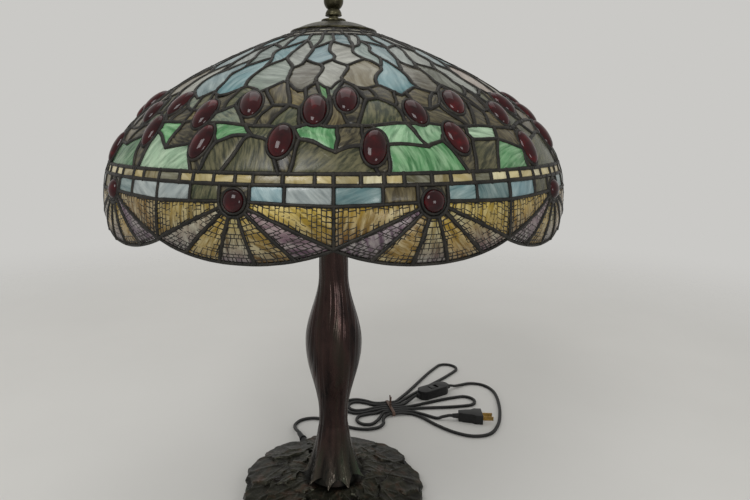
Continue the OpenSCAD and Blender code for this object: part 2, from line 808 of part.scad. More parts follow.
// A thin neck, a bell, a ball and a tip
bell_z = finial_z + 3;
bell_h = 8;
ball_z = finial_z + finial_h * 0.5;
tip_r = 2.4;

module finial() {
    top = finial_z + finial_h;
    bore_top = riser_top + 1;
    bore_r = riser_r + running;
    neck_wall = 1.4;
    color("peru") rotate_extrude() polygon(concat(
        [[bore_r, finial_z], [bore_r + neck_wall, finial_z], [bore_r + neck_wall, bell_z]],
        [[finial_r - 1, bell_z], [finial_r - 1, bell_z + bell_h / 5], [finial_r * 0.6, bell_z + bell_h]],
        [for (t = [-45:15:60]) [finial_r * cos(t), ball_z + finial_r * sin(t)]],
        [[tip_r, top - 2 * tip_r], [tip_r, top - tip_r / 2], [0, top], [0, bore_top], [bore_r, bore_top]]
    ));
}

// Leaded glass
module on_tile(tile) {
    multmatrix(tile_frame(tile)) children();
}

module glass(tiles) {
    for (tile = tiles) on_tile(tile) translate([0, 0, -glass_t])
        linear_extrude(glass_t) polygon(inset(tile_flat(tile), glass_inset));
}

module frame_plate(outer, inner) {
    n = len(outer);
    m = len(inner);
    linear_extrude(lead_t) polygon(
        concat(outer, inner), [[for (i = [0:n - 1]) i], [for (i = [0:m - 1]) n + i]]
    );
}

module lead(tiles, width) {
    for (tile = tiles) on_tile(tile)
        frame_plate(inset(tile_flat(tile), lead_inset), inset(tile_flat(tile), width / 2));
}

module bezel(tiles, long, wide) {
    for (tile = tiles) on_tile(tile)
        frame_plate(inset(tile_flat(tile), lead_inset), ellipse_points(long / 2 + gap, wide / 2 + gap, 16));
}

// A cabochon: rings of an ellipse that close to a tip, its flat back on the inner face of the glass
module jewel(long, wide) {
    sides = 12;
    levels = [0, 30, 60];
    points = concat(
        [for (t = levels) each [
            for (p = ellipse_points(long / 2 * cos(t), wide / 2 * cos(t), sides))
            [p.x, p.y, wide / 2 * sin(t) - glass_t]
        ]],
        [[0, 0, wide / 2 - glass_t]]
    );
    tip = len(points) - 1;
    walls = [
        for (i = [0:len(levels) - 2]) for (k = [0:sides - 1])
        let (a = i * sides, b = a + sides, l = (k + 1) % sides)
        each [[a + k, b + k, b + l], [a + k, b + l, a + l]]
    ];
    top = [for (k = [0:sides - 1]) [tip - sides + k, tip, tip - sides + (k + 1) % sides]];
    back = [for (k = [1:sides - 2]) [0, k, k + 1]];
    polyhedron(points, concat(walls, top, back));
}

module crown_glass() {
    color("antiquewhite") glass(crown_tiles);
}

module pale_glass() {
    color("lightblue") {
        glass(panel_tiles);
        glass(shield_tiles);
        glass(spear_tiles);
    }
}

module olive_glass() {
    color("darkkhaki") glass(olive_tiles);
}

module green_glass() {
    color("seagreen") glass(green_tiles);
}

module belt_glass() {
    color("cornsilk") glass(belt_tiles);
}

module amber_petals() {
    color("goldenrod") glass(amber_tiles);
}

module violet_petals() {
    color("rebeccapurple") glass(violet_tiles);
}

module spandrel_glass() {
    color("lightsteelblue") glass(spandrel_tiles);
}

module ruby_jewels() {
    color("darkred") for (cell = jewel_cells) on_tile(cell) jewel(jewel_l, jewel_w);
}

// The hub jewel stands at its fan's centre, off the middle of its cell
function hub_shift(cell) = hub_s - tile_middle(cell)[0];

module hub_jewels() {
    color("darkred") for (cell = hub_cells) on_tile(cell)
        translate([hub_shift(cell), 0, 0]) jewel(hub_jewel_d, hub_jewel_d);
}

// The upper frames end a little above the jewel courses
function ends_above(tile) = [for (c = tile) [min(c[0], olive_s - gap), c[1]]];

module lead_upper() {
    color("dimgray") {
        lead(crown_tiles, border_lead_w);
        lead(panel_tiles, lead_w);
        lead(shield_tiles, lead_w);
        lead([for (tile = spear_tiles) ends_above(tile)], lead_w);
    }
}

module lead_middle() {
    color("dimgray") {
        lead(olive_tiles, lead_w);
        lead(green_tiles, lead_w);
        lead(belt_tiles, border_lead_w);
        bezel(jewel_cells, jewel_l, jewel_w);
    }
}

hub_hole_r = hub_jewel_d / 2 + gap;

module lead_lower() {
    color("dimgray") {
        lead(amber_tiles, border_lead_w);
        lead(violet_tiles, border_lead_w);
        lead(spandrel_tiles, border_lead_w);
        for (cell = hub_cells) on_tile(cell) frame_plate(
            inset(tile_flat(cell), lead_inset),
            [for (p = ellipse_points(hub_hole_r, hub_hole_r, 16)) p + [hub_shift(cell), 0]]
        );
    }
}

rim_rings = 12 * lobe_count;
rim_drop = rim_wire_d / 2 + 0.2;

module rim_wire() {
    path = [
        for (k = [0:rim_rings - 1])
        let (lobe = floor(k / 12), x = lobe_half * ((k % 12) / 6 - 1))
        on_dome(border_corner(x, rim_at(x) + rim_drop, lobe))
    ];
    color("dimgray") tube(path, rim_wire_d / 2, 6, closed = true);
}

// Lead
module cord_sleeve() {
    bore = cord_r + running;
    inside = hollow_r - 2;
    flange_r = sleeve_r + 1.4;
    flange_low = base_r + leaf_reach;
    flange_high = flange_low + 2;
    tip_wall = 0.9;
    color("black") rotate([0, 0, exit_angle]) translate([0, 0, exit_h]) rotate([0, 90, 0])
        rotate_extrude() polygon([
            [bore, inside], [sleeve_r, inside], [sleeve_r, flange_low], [flange_r, flange_low],
            [flange_r, flange_high], [sleeve_r, flange_high],
            [bore + tip_wall, exit_reach], [bore, exit_reach]
        ]);
}

module cord_lead() {
    color("black") tube(lead_path, cord_r, 8);
}

module cord_hank() {
    color("black") tube(hank_path, cord_r, 6);
}

module tie_loop(r, half, low, high) {
    translate([0, -half, 0]) rotate([0, 90, 0]) cylinder(r = r, h = high - low, center = true);
    translate([0, half, 0]) rotate([0, 90, 0]) cylinder(r = r, h = high - low, center = true);
    cube([high - low, 2 * half, 2 * r], center = true);
}

module twist_tie() {
    half = 3 * strand_pitch;
    inner = cord_r + gap;
    color("rosybrown") translate(tie_point(0, 0, tie_z)) rotate([0, 0, tie_angle]) {
        difference() {
            tie_loop(inner + tie_t - seat, half, -2.5, 2.5);
            tie_loop(inner, half, -4, 4);
        }
        for (lean = [-14, 18]) translate([0, 0, inner + tie_t / 2]) rotate([lean, 0, 0])
            cylinder(r = 0.9, h = 20);
    }
}

// Switch, in its own frame with X along the lead
pin_r = 1.2;
pin_z = switch_h - 3.4;
rocker_half = 8;
rocker_w = 10;
window_half = rocker_half + 1.2;
post_t = 2;
post_w = 6;
post_over = 0.6;
boss_gap = 2;
post_y = rocker_w / 2 + 0.5;
shell_gap = 0.2;
screw_x = switch_l / 2 - 11;
screw_r = 1.3;
screw_boss_r = 3;
collar_r = cord_r + 1.6;

module on_switch() {
    translate(at_height(switch_place, 0)) rotate([0, 0, switch_angle]) children();
}

module stadium(long, wide) {
    square([long - wide, wide], center = true);
    for (end = [-1, 1]) translate([end * (long - wide) / 2, 0]) circle(d = wide);
}

module shell_part(low, high, floor_low, floor_high) {
    difference() {
        translate([0, 0, low]) linear_extrude(high - low) stadium(switch_l, switch_w);
        translate([0, 0, floor_low]) linear_extrude(floor_high - floor_low)
            stadium(switch_l - 2 * switch_wall, switch_w - 2 * switch_wall);
    }
}

module collars(r, l) {
    sunk = 2 * switch_wall;
    for (end = [0, 180]) rotate([0, 0, end]) translate([switch_l / 2 - sunk, 0, cord_in_h])
        rotate([0, 90, 0]) cylinder(r = r, h = l + sunk);
}

module at_screws() {
    for (end = [-1, 1]) translate([end * screw_x, 0, 0]) children();
}

module switch_base() {
    color("black") on_switch() difference() {
        union() {
            shell_part(shell_gap, cord_in_h, switch_wall, switch_h);
            collars(collar_r, switch_collar);
            for (side = [-1, 1])
                translate([-post_w / 2, side * (post_y + post_t / 2) - post_t / 2, switch_wall / 2])
                cube([post_w, post_t, pin_z + pin_r + post_over - switch_wall / 2]);
            at_screws() translate([0, 0, switch_wall / 2])
                cylinder(r = screw_boss_r, h = cord_in_h - switch_wall / 2 - boss_gap);
        }
        translate([0, 0, pin_z]) rotate([90, 0, 0]) cylinder(r = pin_r, h = switch_w, center = true);
        at_screws() cylinder(r = screw_r + seat, h = cord_in_h);
    }
}

module switch_cover() {
    color("black") on_switch() difference() {
        union() {
            shell_part(cord_in_h, switch_h, 0, switch_h - 1.5);
            at_screws() translate([0, 0, cord_in_h - boss_gap + seat])
                cylinder(r = screw_boss_r, h = switch_h - 1 - cord_in_h + boss_gap - seat);
        }
        collars(collar_r + seat, switch_collar);
        translate([-window_half, -rocker_w / 2 - gap, switch_h - 3])
            cube([2 * window_half, rocker_w + 2 * gap, 6]);
        at_screws() cylinder(r = screw_r + seat, h = switch_h - 3);
    }
}

module switch_rocker() {
    color("dimgray") on_switch() translate([0, 0, pin_z]) rotate([0, rocker_swing / 2, 0])
        rotate([90, 0, 0]) difference() {
            linear_extrude(rocker_w, center = true) polygon([
                [-rocker_half, 2.4], [-rocker_half, -0.5], [-3, -3], [3, -3],
                [rocker_half, -0.5], [rocker_half, 2.4], [0, 4]
            ]);
            cylinder(r = pin_r + running, h = rocker_w + 2, center = true);
        }
}

module switch_pin() {
    color("silver") on_switch() translate([0, 0, pin_z]) rotate([90, 0, 0])
        cylinder(r = pin_r, h = 2 * (post_y + post_t), center = true);
}

module switch_screws() {
    color("silver") on_switch() at_screws() translate([0, 0, shell_gap])
        cylinder(r = screw_r, h = switch_h - 4);
}

// Plug, in its own frame with X along the blades
blade_spacing = 12.7;
blade_t = 1.5;
blade_w = 6.4;

module on_plug() {
    translate(at_height(plug_place, 0)) rotate([0, 0, plug_angle]) children();
}

module plug_body() {
    half = plug_w / 2;
    color("black") on_plug() {
        translate([0, 0, shell_gap]) linear_extrude(plug_h - 2 * shell_gap) polygon([
            [0, -5], [plug_l * 0.3, -half * 0.62], [plug_l * 0.55, -half * 0.7], [plug_l * 0.7, -half],
            [plug_l, -half], [plug_l, half], [plug_l * 0.7, half], [plug_l * 0.55, half * 0.7],
            [plug_l * 0.3, half * 0.62], [0, 5]
        ]);
        translate([-plug_collar, 0, plug_h / 2]) rotate([0, 90, 0])
            cylinder(r1 = cord_r + 0.8, r2 = cord_r + 2, h = plug_collar + 2);
    }
}

module plug_blades() {
    color("gold") on_plug() for (side = [-1, 1])
        translate([plug_l, side * blade_spacing / 2 - blade_t / 2, plug_h / 2 - blade_w / 2])
        cube([blade_l, blade_t, blade_w]);
}

echo(lead_length = path_length(lead_path), hank_length = path_length(hank_path), least_hank_gap = fine_gap);

felt_pad();
bottom_cover();
lamp_base();
base_washer();
base_nut();
stem();
threaded_pipe();
stem_collar();
collar_nut();
cluster_body();
riser_rod();
riser_nut();
shade_seat();
inner_cord();
socket_shell(0);  // socket_1_shell
socket_shell(1);  // socket_2_shell
socket_shell(2);  // socket_3_shell
socket_liner(0);  // socket_1_liner
socket_liner(1);  // socket_2_liner
socket_liner(2);  // socket_3_liner
socket_contacts();
bulb_base(0);  // bulb_1_base
bulb_base(1);  // bulb_2_base
bulb_base(2);  // bulb_3_base
bulb_glass(0);  // bulb_1_glass
bulb_glass(1);  // bulb_2_glass
bulb_glass(2);  // bulb_3_glass
spider();
aperture_ring();
vase_cap();
finial();
crown_glass();
pale_glass();
olive_glass();
green_glass();
belt_glass();
amber_petals();
violet_petals();
spandrel_glass();
ruby_jewels();
hub_jewels();
lead_upper();
lead_middle();
lead_lower();
rim_wire();
cord_sleeve();
cord_lead();
cord_hank();
twist_tie();
switch_base();
switch_cover();
switch_rocker();
switch_pin();
switch_screws();
plug_body();
plug_blades();
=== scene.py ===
"""The looks of the table lamp: leaded glass, bronze castings, lead, switch and plug, on a plain floor."""

import json
from bisect import bisect
from math import atan2, cos, degrees, exp, hypot, pi, radians, sin
from random import Random

import bmesh
import bpy
from mathutils import Matrix, Vector, noise


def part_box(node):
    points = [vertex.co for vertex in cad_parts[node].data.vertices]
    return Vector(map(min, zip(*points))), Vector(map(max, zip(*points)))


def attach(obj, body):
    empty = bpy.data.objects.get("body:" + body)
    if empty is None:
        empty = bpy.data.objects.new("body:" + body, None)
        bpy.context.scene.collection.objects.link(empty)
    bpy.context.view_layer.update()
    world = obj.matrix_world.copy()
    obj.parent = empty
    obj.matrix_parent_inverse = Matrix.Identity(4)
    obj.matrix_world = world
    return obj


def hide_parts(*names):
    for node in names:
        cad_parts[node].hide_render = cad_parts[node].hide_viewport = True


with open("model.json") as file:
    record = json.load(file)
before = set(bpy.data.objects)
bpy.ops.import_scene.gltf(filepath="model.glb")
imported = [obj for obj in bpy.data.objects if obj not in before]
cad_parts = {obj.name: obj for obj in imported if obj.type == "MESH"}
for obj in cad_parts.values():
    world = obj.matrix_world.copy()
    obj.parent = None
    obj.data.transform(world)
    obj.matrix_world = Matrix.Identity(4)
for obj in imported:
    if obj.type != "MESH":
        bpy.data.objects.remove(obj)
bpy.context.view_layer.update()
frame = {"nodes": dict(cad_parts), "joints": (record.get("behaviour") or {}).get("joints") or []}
MM = 0.001


# Sizes in millimetres, as in the part
CROWN_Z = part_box("aperture_ring")[1].z / MM
APERTURE_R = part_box("aperture_ring")[1].x / MM
SHADE_R = 254.5
DOME_H = 182
DOME_POWER = 2.4
SKIRT_H = 26
SKIRT_IN = 4
CROWN_COUNT = 20
UPPER_JEWELS = 30
LOWER_JEWELS = 20
LOBE_COUNT = 10
WAVE_H = 15
WAVE_POWER = 2.2
BORDER_LEN = 64
BELT_LEN = 9
JEWEL_COURSE = 45
CROWN_COURSE = 12
JEWEL_L = 34
JEWEL_W = 19
HUB_JEWEL_D = 18
GLASS_T = 3
LEAD_W = 3.5
LEAD_H = 1.5
FINE_LEAD_W = 3.0
RIM_WIRE_R = 1.7
BASE_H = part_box("stem")[0].z / MM
STEM_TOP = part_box("stem")[1].z / MM
BASE_R = 121
BASE_EDGE_H = 10
FELT_T = 2
FOOT_R = 38
KNOB_R = 14
KNOB_H = 4


# Colours as they look on a screen, turned into linear light
def srgb(r, g, b):
    def light(c):
        c /= 255
        return c / 12.92 if c <= 0.04045 else ((c + 0.055) / 1.055) ** 2.4

    return (light(r), light(g), light(b), 1.0)


def palette(*colours):
    return [srgb(*c) for c in colours]


PALE = palette(
    (104, 128, 132), (130, 138, 134), (136, 118, 104), (80, 121, 127), (100, 114, 102),
    (119, 123, 116), (93, 123, 130), (142, 142, 132), (92, 111, 106),
)
CROWN = palette((158, 154, 138), (98, 92, 78), (170, 166, 150), (126, 120, 104))
MOTTLED = palette(
    (62, 54, 34), (74, 64, 38), (46, 42, 30), (58, 61, 42), (94, 82, 46), (52, 60, 40),
    (40, 36, 27),
)
DARK_GROUND = palette((40, 37, 31), (33, 32, 28), (48, 45, 36))
GREEN = palette(
    (64, 134, 74), (120, 164, 124), (44, 104, 58), (84, 146, 92), (146, 176, 146),
    (76, 138, 104),
)
CREAM = palette((190, 176, 124), (198, 188, 146), (170, 152, 96), (180, 164, 110))
BELT_ACCENTS = palette((112, 98, 54), (88, 84, 56), (138, 124, 78))
AMBER = palette((164, 134, 34), (180, 152, 46), (136, 104, 28), (150, 126, 52))
AMBER_END = palette((92, 64, 26), (110, 76, 28), (86, 48, 28), (118, 92, 34))
VIOLET = palette((162, 148, 120), (140, 114, 118), (108, 80, 98), (152, 134, 66))
VIOLET_END = palette((82, 56, 78), (70, 48, 70), (94, 50, 68), (76, 60, 74))
SPANDREL = palette((108, 140, 148), (92, 124, 127), (144, 154, 154), (82, 109, 110))


# Materials
class Stuff:
    """A material in the making: its nodes, and the sockets of its surface."""

    def __init__(self, name):
        self.mat = bpy.data.materials.new(name)
        self.mat.use_nodes = True
        self.nodes = self.mat.node_tree.nodes
        self.surface = self.nodes["Principled BSDF"].inputs

    def feed(self, socket, value):
        """Link a socket to another node's output, or set it to a constant."""
        if isinstance(value, bpy.types.NodeSocket):
            self.mat.node_tree.links.new(value, socket)
        else:
            socket.default_value = value

    def node(self, kind, output, values):
        node = self.nodes.new(kind)
        for name, value in values.items():
            self.feed(node.inputs[name], value)
        return node.outputs[output]

    def place(self):
        return self.node("ShaderNodeTexCoord", "Object", {})

    def scaled(self, vector, factors):
        return self.node("ShaderNodeMapping", "Vector", {"Vector": vector, "Scale": factors})

    def attribute(self, name, output):
        node = self.nodes.new("ShaderNodeAttribute")
        node.attribute_name = name
        return node.outputs[output]

    def noise(self, vector, scale, detail=4.0, roughness=0.55):
        values = {"Vector": vector, "Scale": scale, "Detail": detail, "Roughness": roughness}
        return self.node("ShaderNodeTexNoise", "Fac", values)

    def ramp(self, fac, *stops):
        node = self.nodes.new("ShaderNodeValToRGB")
        elements = node.color_ramp.elements
        while len(elements) < len(stops):
            elements.new(0.5)
        for element, (position, colour) in zip(elements, stops):
            element.position = position
            element.color = colour
        self.feed(node.inputs["Fac"], fac)
        return node.outputs["Color"]

    def mix(self, kind, fac, a, b):
        node = self.nodes.new("ShaderNodeMix")
        node.data_type = "RGBA"
        node.blend_type = kind
        for socket, value in zip([s for s in node.inputs if s.enabled], (fac, a, b)):
            self.feed(socket, value)
        return [s for s in node.outputs if s.enabled][0]

    def bump(self, height, strength, distance):
        values = {"Height": height, "Strength": strength, "Distance": distance}
        return self.node("ShaderNodeBump", "Normal", values)

    def finish(self, values):
        for name, value in values.items():
            self.feed(self.surface[name], value)
        return self.mat


def grey(v):
    return (v, v, v, 1.0)


def glass_material(name, streak, grain, depth, clear, pale=srgb(228, 232, 222), roughness=0.16):
    """Opalescent sheet glass: each piece has its own tint, and streaks that flow its own way."""
    stuff = Stuff(name)
    tint = stuff.attribute("tint", "Color")
    flow = stuff.attribute("flow", "Vector")
    streaks = stuff.noise(stuff.scaled(flow, grain), 1.0, 5.0, 0.6)
    cloud = stuff.noise(flow, 0.09, 3.0)
    dark = stuff.mix("MULTIPLY", 1.0, tint, grey(depth))
    light = stuff.mix("MIX", clear, tint, pale)
    share = stuff.ramp(streaks, (0.5 - streak, grey(0)), (0.5 + streak, grey(1)))
    soft = stuff.ramp(cloud, (0.35, grey(0.35)), (0.7, grey(0.9)))
    return stuff.finish({
        "Base Color": stuff.mix("MIX", soft, tint, stuff.mix("MIX", share, dark, light)),
        "Roughness": stuff.ramp(cloud, (0.3, grey(roughness)), (0.75, grey(roughness + 0.14))),
        "IOR": 1.52,
        "Specular IOR Level": 0.3,
        "Normal": stuff.bump(streaks, 0.3, 0.0007),
    })


def metal_material(name, colours, roughness, scale, metallic=1.0, stretch=(1, 1, 1), bump=0.2, worn=False):
    """Metal with a patina: three colours in clouds, a finer grain in the gloss, and wear where rubbed."""
    stuff = Stuff(name)
    place = stuff.scaled(stuff.place(), stretch)
    cloud = stuff.noise(place, scale, 6.0, 0.62)
    grain = stuff.noise(place, scale * 7, 3.0)
    colour = stuff.ramp(cloud, *zip((0.34, 0.5, 0.68), colours))
    if worn:
        colour = stuff.mix("MULTIPLY", 1.0, colour, stuff.attribute("tint", "Color"))
    return stuff.finish({
        "Base Color": colour,
        "Roughness": stuff.ramp(grain, (0.3, grey(roughness - 0.08)), (0.7, grey(roughness + 0.14))),
        "Metallic": metallic,
        "Normal": stuff.bump(grain, bump, 0.0005),
    })


def plain_material(name, colour, roughness, scale, spread=0.25, bump=0.12, gloss=0.5):
    """Moulded or woven stuff: one colour with a fine grain in its tone and gloss."""
    stuff = Stuff(name)
    grain = stuff.noise(stuff.place(), scale)
    low = tuple(c * (1 - spread) for c in colour[:3]) + (1.0,)
    high = tuple(min(1.0, c * (1 + spread) + 0.004) for c in colour[:3]) + (1.0,)
    return stuff.finish({
        "Base Color": stuff.ramp(grain, (0.3, low), (0.7, high)),
        "Roughness": stuff.ramp(grain, (0.25, grey(roughness - 0.06)), (0.75, grey(roughness + 0.1))),
        "Specular IOR Level": gloss,
        "Normal": stuff.bump(grain, bump, 0.0003),
    })


def ruby_material():
    stuff = Stuff("ruby_glass")
    cloud = stuff.noise(stuff.place(), 70, 3.0)
    colours = palette((28, 4, 7), (50, 7, 11), (92, 13, 17))
    return stuff.finish({
        "Base Color": stuff.ramp(cloud, *zip((0.3, 0.55, 0.8), colours)),
        "Roughness": 0.07,
        "IOR": 1.45,
        "Specular IOR Level": 0.32,
    })


BRONZE = metal_material(
    "dark_bronze", palette((22, 18, 18), (58, 42, 39), (47, 46, 38)), 0.2, 40, 0.82, (1, 1, 0.16), 0.22, True
)
BASE_BRONZE = metal_material(
    "base_bronze", palette((31, 27, 23), (55, 55, 45), (76, 57, 45)), 0.4, 55, 0.8, (1, 1, 1), 0.4, True
)
ANTIQUE = metal_material(
    "antique_bronze", palette((37, 35, 27), (67, 64, 49), (98, 94, 73)), 0.36, 80, 0.95
)
BRASS = metal_material("plain_brass", palette((150, 118, 62), (178, 144, 80), (196, 164, 98)), 0.28, 90)
STEEL = metal_material("plain_steel", palette((130, 130, 130), (160, 160, 160), (184, 184, 182)), 0.3, 120)
LEAD = metal_material(
    "dark_solder", palette((19, 18, 15), (32, 30, 26), (47, 43, 36)), 0.5, 110, 0.5, (1, 1, 1), 0.4
)
RUBY = ruby_material()
CORD_BLACK = plain_material("black_flex", srgb(15, 15, 15), 0.45, 300, gloss=0.3)
PLASTIC = plain_material("black_plastic", srgb(17, 17, 18), 0.4, 900, gloss=0.35)
TIE_BROWN = plain_material("brown_tie", srgb(86, 62, 50), 0.5, 500)
FELT = plain_material("green_felt", srgb(52, 60, 46), 0.9, 900, 0.4, 0.5)
BULB_WHITE = plain_material("frosted_bulb", srgb(236, 233, 224), 0.3, 200, 0.03, 0.02)
SOFT_GLASS = glass_material("opal_glass", 0.15, (0.035, 0.2, 1.0), 0.5, 0.28)
STREAKY_GLASS = glass_material("streaky_glass", 0.1, (0.05, 0.26, 1.0), 0.34, 0.3, srgb(214, 222, 200), 0.2)
MOTTLED_GLASS = glass_material("mottled_glass", 0.1, (0.09, 0.4, 1.0), 0.26, 0.42, srgb(150, 140, 104), 0.24)


# Meshes
class Shape:
    """Points in millimetres, faces, and for each point a tint and a flow coordinate."""

    def __init__(self):
        self.points = []
        self.faces = []
        self.tints = []
        self.flows = []

    def add(self, points, tint=(1, 1, 1, 1), flows=None):
        first = len(self.points)
        self.points.extend(Vector(p) for p in points)
        self.tints.extend([tint] * len(points) if isinstance(tint, tuple) else tint)
        self.flows.extend(flows or [(0, 0, 0)] * len(points))
        return first

    def loft(self, rings, tint=(1, 1, 1, 1), start_cap=False, end_cap=False):
        """Skin closed rings of points, one after the other."""
        count = len(rings[0])
        first = self.add([p for ring in rings for p in ring], tint)
        for i in range(len(rings) - 1):
            a = first + i * count
            b = a + count
            for k in range(count):
                n = (k + 1) % count
                self.faces.append((a + k, a + n, b + n, b + k))
        if start_cap:
            self.faces.append(tuple(first + k for k in reversed(range(count))))
        if end_cap:
            last = first + (len(rings) - 1) * count
            self.faces.append(tuple(last + k for k in range(count)))


def build(name, shape, mat, body, slot, nodes, sharp):
    """A visible piece: its body, its slot, which is not used, the nodes that it stands for and the angle
    that stays sharp.
    """
    mesh = bpy.data.meshes.new(name)
    mesh.from_pydata([p * MM for p in shape.points], [], shape.faces)
    tint = mesh.attributes.new("tint", "FLOAT_COLOR", "POINT")
    tint.data.foreach_set("color", [c for t in shape.tints for c in t])
    flow = mesh.attributes.new("flow", "FLOAT_VECTOR", "POINT")
    flow.data.foreach_set("vector", [c for f in shape.flows for c in f])
    return place(name, mesh, mat, body, slot, nodes, sharp)


def add_object(name, data):
    obj = bpy.data.objects.new(name, data)
    bpy.context.scene.collection.objects.link(obj)
    return obj


def place(name, mesh, mat, body, slot, nodes, sharp):
    mesh.materials.clear()
    mesh.materials.append(mat)
    mesh.shade_smooth()
    mesh.set_sharp_from_angle(angle=radians(sharp))
    obj = add_object(name, mesh)
    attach(obj, body)
    if nodes:
        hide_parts(*nodes)
    return obj


def all_round(count):
    """Angles in radians, evenly spread over a full turn."""
    return [2 * pi * k / count for k in range(count)]


def polar(r, turn, z=0.0):
    return Vector((r * cos(turn), r * sin(turn), z))


def circle(r, z, sides):
    return [polar(r, t, z) for t in all_round(sides)]


def ease(t):
    t = min(1.0, max(0.0, t))
    return (1 - cos(pi * t)) / 2


def lerp(a, b, t):
    return a + (b - a) * t


def bell(x, reach):
    return exp(-((x / reach) ** 2))


def rough(spot, layers):
    """Unevenness at a place: layers of noise, each with its size and its scale."""
    return sum(size * noise.noise(spot * scale) for size, scale in layers)


# The dome: slope length s down from the crown, and an angle in degrees
SKIRT_U = SKIRT_H / DOME_H
RIM_U = 1 + SKIRT_U
TABLE_STEPS = 240
TABLE_U = RIM_U + 0.06
NORMAL_STEP = 0.002


def dome_r(u):
    if u <= 1:
        return APERTURE_R + (SHADE_R - APERTURE_R) * (1 - (1 - u) ** DOME_POWER)
    return SHADE_R - SKIRT_IN * ((u - 1) / SKIRT_U) ** 2


def dome_z(u):
    return CROWN_Z - u * DOME_H


def slope_table():
    us = [i * TABLE_U / TABLE_STEPS for i in range(TABLE_STEPS + 1)]
    sums = [0.0]
    for a, b in zip(us, us[1:]):
        sums.append(sums[-1] + hypot(dome_r(b) - dome_r(a), dome_z(b) - dome_z(a)))
    return us, sums


TABLE_US, TABLE_SUMS = slope_table()


def read_table(value, keys, values):
    i = min(max(bisect(keys, value), 1), TABLE_STEPS)
    t = (value - keys[i - 1]) / (keys[i] - keys[i - 1])
    return lerp(values[i - 1], values[i], t)


def u_at(s):
    return read_table(s, TABLE_SUMS, TABLE_US)


RIM_S = read_table(RIM_U, TABLE_US, TABLE_SUMS)


def radius_at(s):
    return dome_r(u_at(s))


def degrees_at(x, s):
    """The angle that a width takes up round the dome."""
    return degrees(x / radius_at(s))


def surface(s, a):
    u = u_at(s)
    return polar(dome_r(u), radians(a), dome_z(u))


def surface_normal(s, a):
    u = u_at(s)
    dr = dome_r(u + NORMAL_STEP) - dome_r(u - NORMAL_STEP)
    dz = dome_z(u + NORMAL_STEP) - dome_z(u - NORMAL_STEP)
    out = Vector((-dz, dr)).normalized()
    return polar(out.x, radians(a), out.y)


# Courses, as slope lengths
CROWN_S = 1.5
PALE_S = CROWN_S + CROWN_COURSE
BORDER_S = RIM_S - BORDER_LEN
BELT_S = BORDER_S - BELT_LEN
GREEN_S = BELT_S - JEWEL_COURSE
OLIVE_S = GREEN_S - JEWEL_COURSE
PALE_LEN = OLIVE_S - PALE_S
SHIELD_S = PALE_S + 0.34 * PALE_LEN
SHIELD_SIDE_S = PALE_S + 0.6 * PALE_LEN
SHIELD_TIP_S = PALE_S + 0.72 * PALE_LEN
CROWN_STEP = 360 / CROWN_COUNT
FINE_COUNT = 2 * CROWN_COUNT
FINE_STEP = 360 / FINE_COUNT
COLLAR_S = PALE_S + 13
UPPER_RINGS = [CROWN_S, PALE_S, COLLAR_S]
MIDDLE_RINGS = [OLIVE_S, GREEN_S, BELT_S, BORDER_S]

# How far hand work strays from the regular pattern
CALM_TOP = 30
CALM_LOW = 24
WANDER = 13
WANDER_SCALE = 0.013
QUIVER = 5
QUIVER_SCALE = 0.041
DRIFT_DOWN = Vector((30.33, 17.19, 5.3))
DRIFT_ROUND = Vector((56.2, 11.9, 53.7))
POINT_H = 7
POINT_REACH = 13
POINT_SCALE = 0.03
JOINT_DOWN = 4.5
JOINT_ROUND = 2.6
SEED_STEP = 7919
SAME_S = 0.05

# Rows of jewels: slope length, step and start in degrees, and how far up the row is moved
JEWEL_ROWS = [
    (OLIVE_S + JEWEL_COURSE / 2, 360 / UPPER_JEWELS, 0, 0),
    (GREEN_S + JEWEL_COURSE / 2, 360 / LOWER_JEWELS, FINE_STEP + 360 / LOWER_JEWELS, 4),
]
ROW_SHIFT = 6.5
ROW_SQUEEZE = 5
ROW_REACH = 17
ROW_LAG = 0.5


def drift(spot):
    """A shift in two directions that changes slowly from place to place."""
    return Vector((noise.noise(spot + DRIFT_DOWN), noise.noise(spot + DRIFT_ROUND)))


def hand_set(s, a):
    """Where hand work puts a point of the pattern: a little off its place, between crown and belt."""
    calm = ease((s - PALE_S) / CALM_TOP) * ease((BELT_S - s) / CALM_LOW)
    r = radius_at(s)
    spot = polar(r, radians(a), s)
    shift = WANDER * drift(spot * WANDER_SCALE) + QUIVER * drift(spot * QUIVER_SCALE)
    off_middle = abs((a / FINE_STEP + 0.5) % 1 - 0.5)
    uneven = 1 + noise.noise(spot * POINT_SCALE)
    point = POINT_H * (1 - 4 * off_middle) * uneven * bell(s - OLIVE_S, POINT_REACH)
    for middle, step, start, lift in JEWEL_ROWS:
        turns = pi * (a - start) / step
        near = bell(s - middle, ROW_REACH)
        shift.x += (ROW_SHIFT * cos(turns) - lift) * near
        shift.y += ROW_SQUEEZE * cos(turns + ROW_LAG) * near
    return s + calm * shift.x + point, a + calm * degrees(shift.y / r)


def dome_normal(s, a):
    return surface_normal(*hand_set(s, a))


def on_dome(s, a, lift=0.0):
    place_s, place_a = hand_set(s, a)
    return surface(place_s, place_a) + lift * surface_normal(place_s, place_a)


def wander(s, a, reach):
    """The same small shift wherever the same point of the network is asked for."""
    dice = Random(round(s * 10) * SEED_STEP + round(a % 360 * 100))
    return lerp(-reach, reach, dice.random())


def node_at(s, a):
    """A joint of the lead network, moved a little as hand-cut glass is."""
    free = all(abs(s - ring) > SAME_S for ring in UPPER_RINGS + MIDDLE_RINGS)
    shift = wander(s + 1, a, JOINT_DOWN) if free else 0
    return (s + shift, a + degrees_at(wander(s, a, JOINT_ROUND), s))


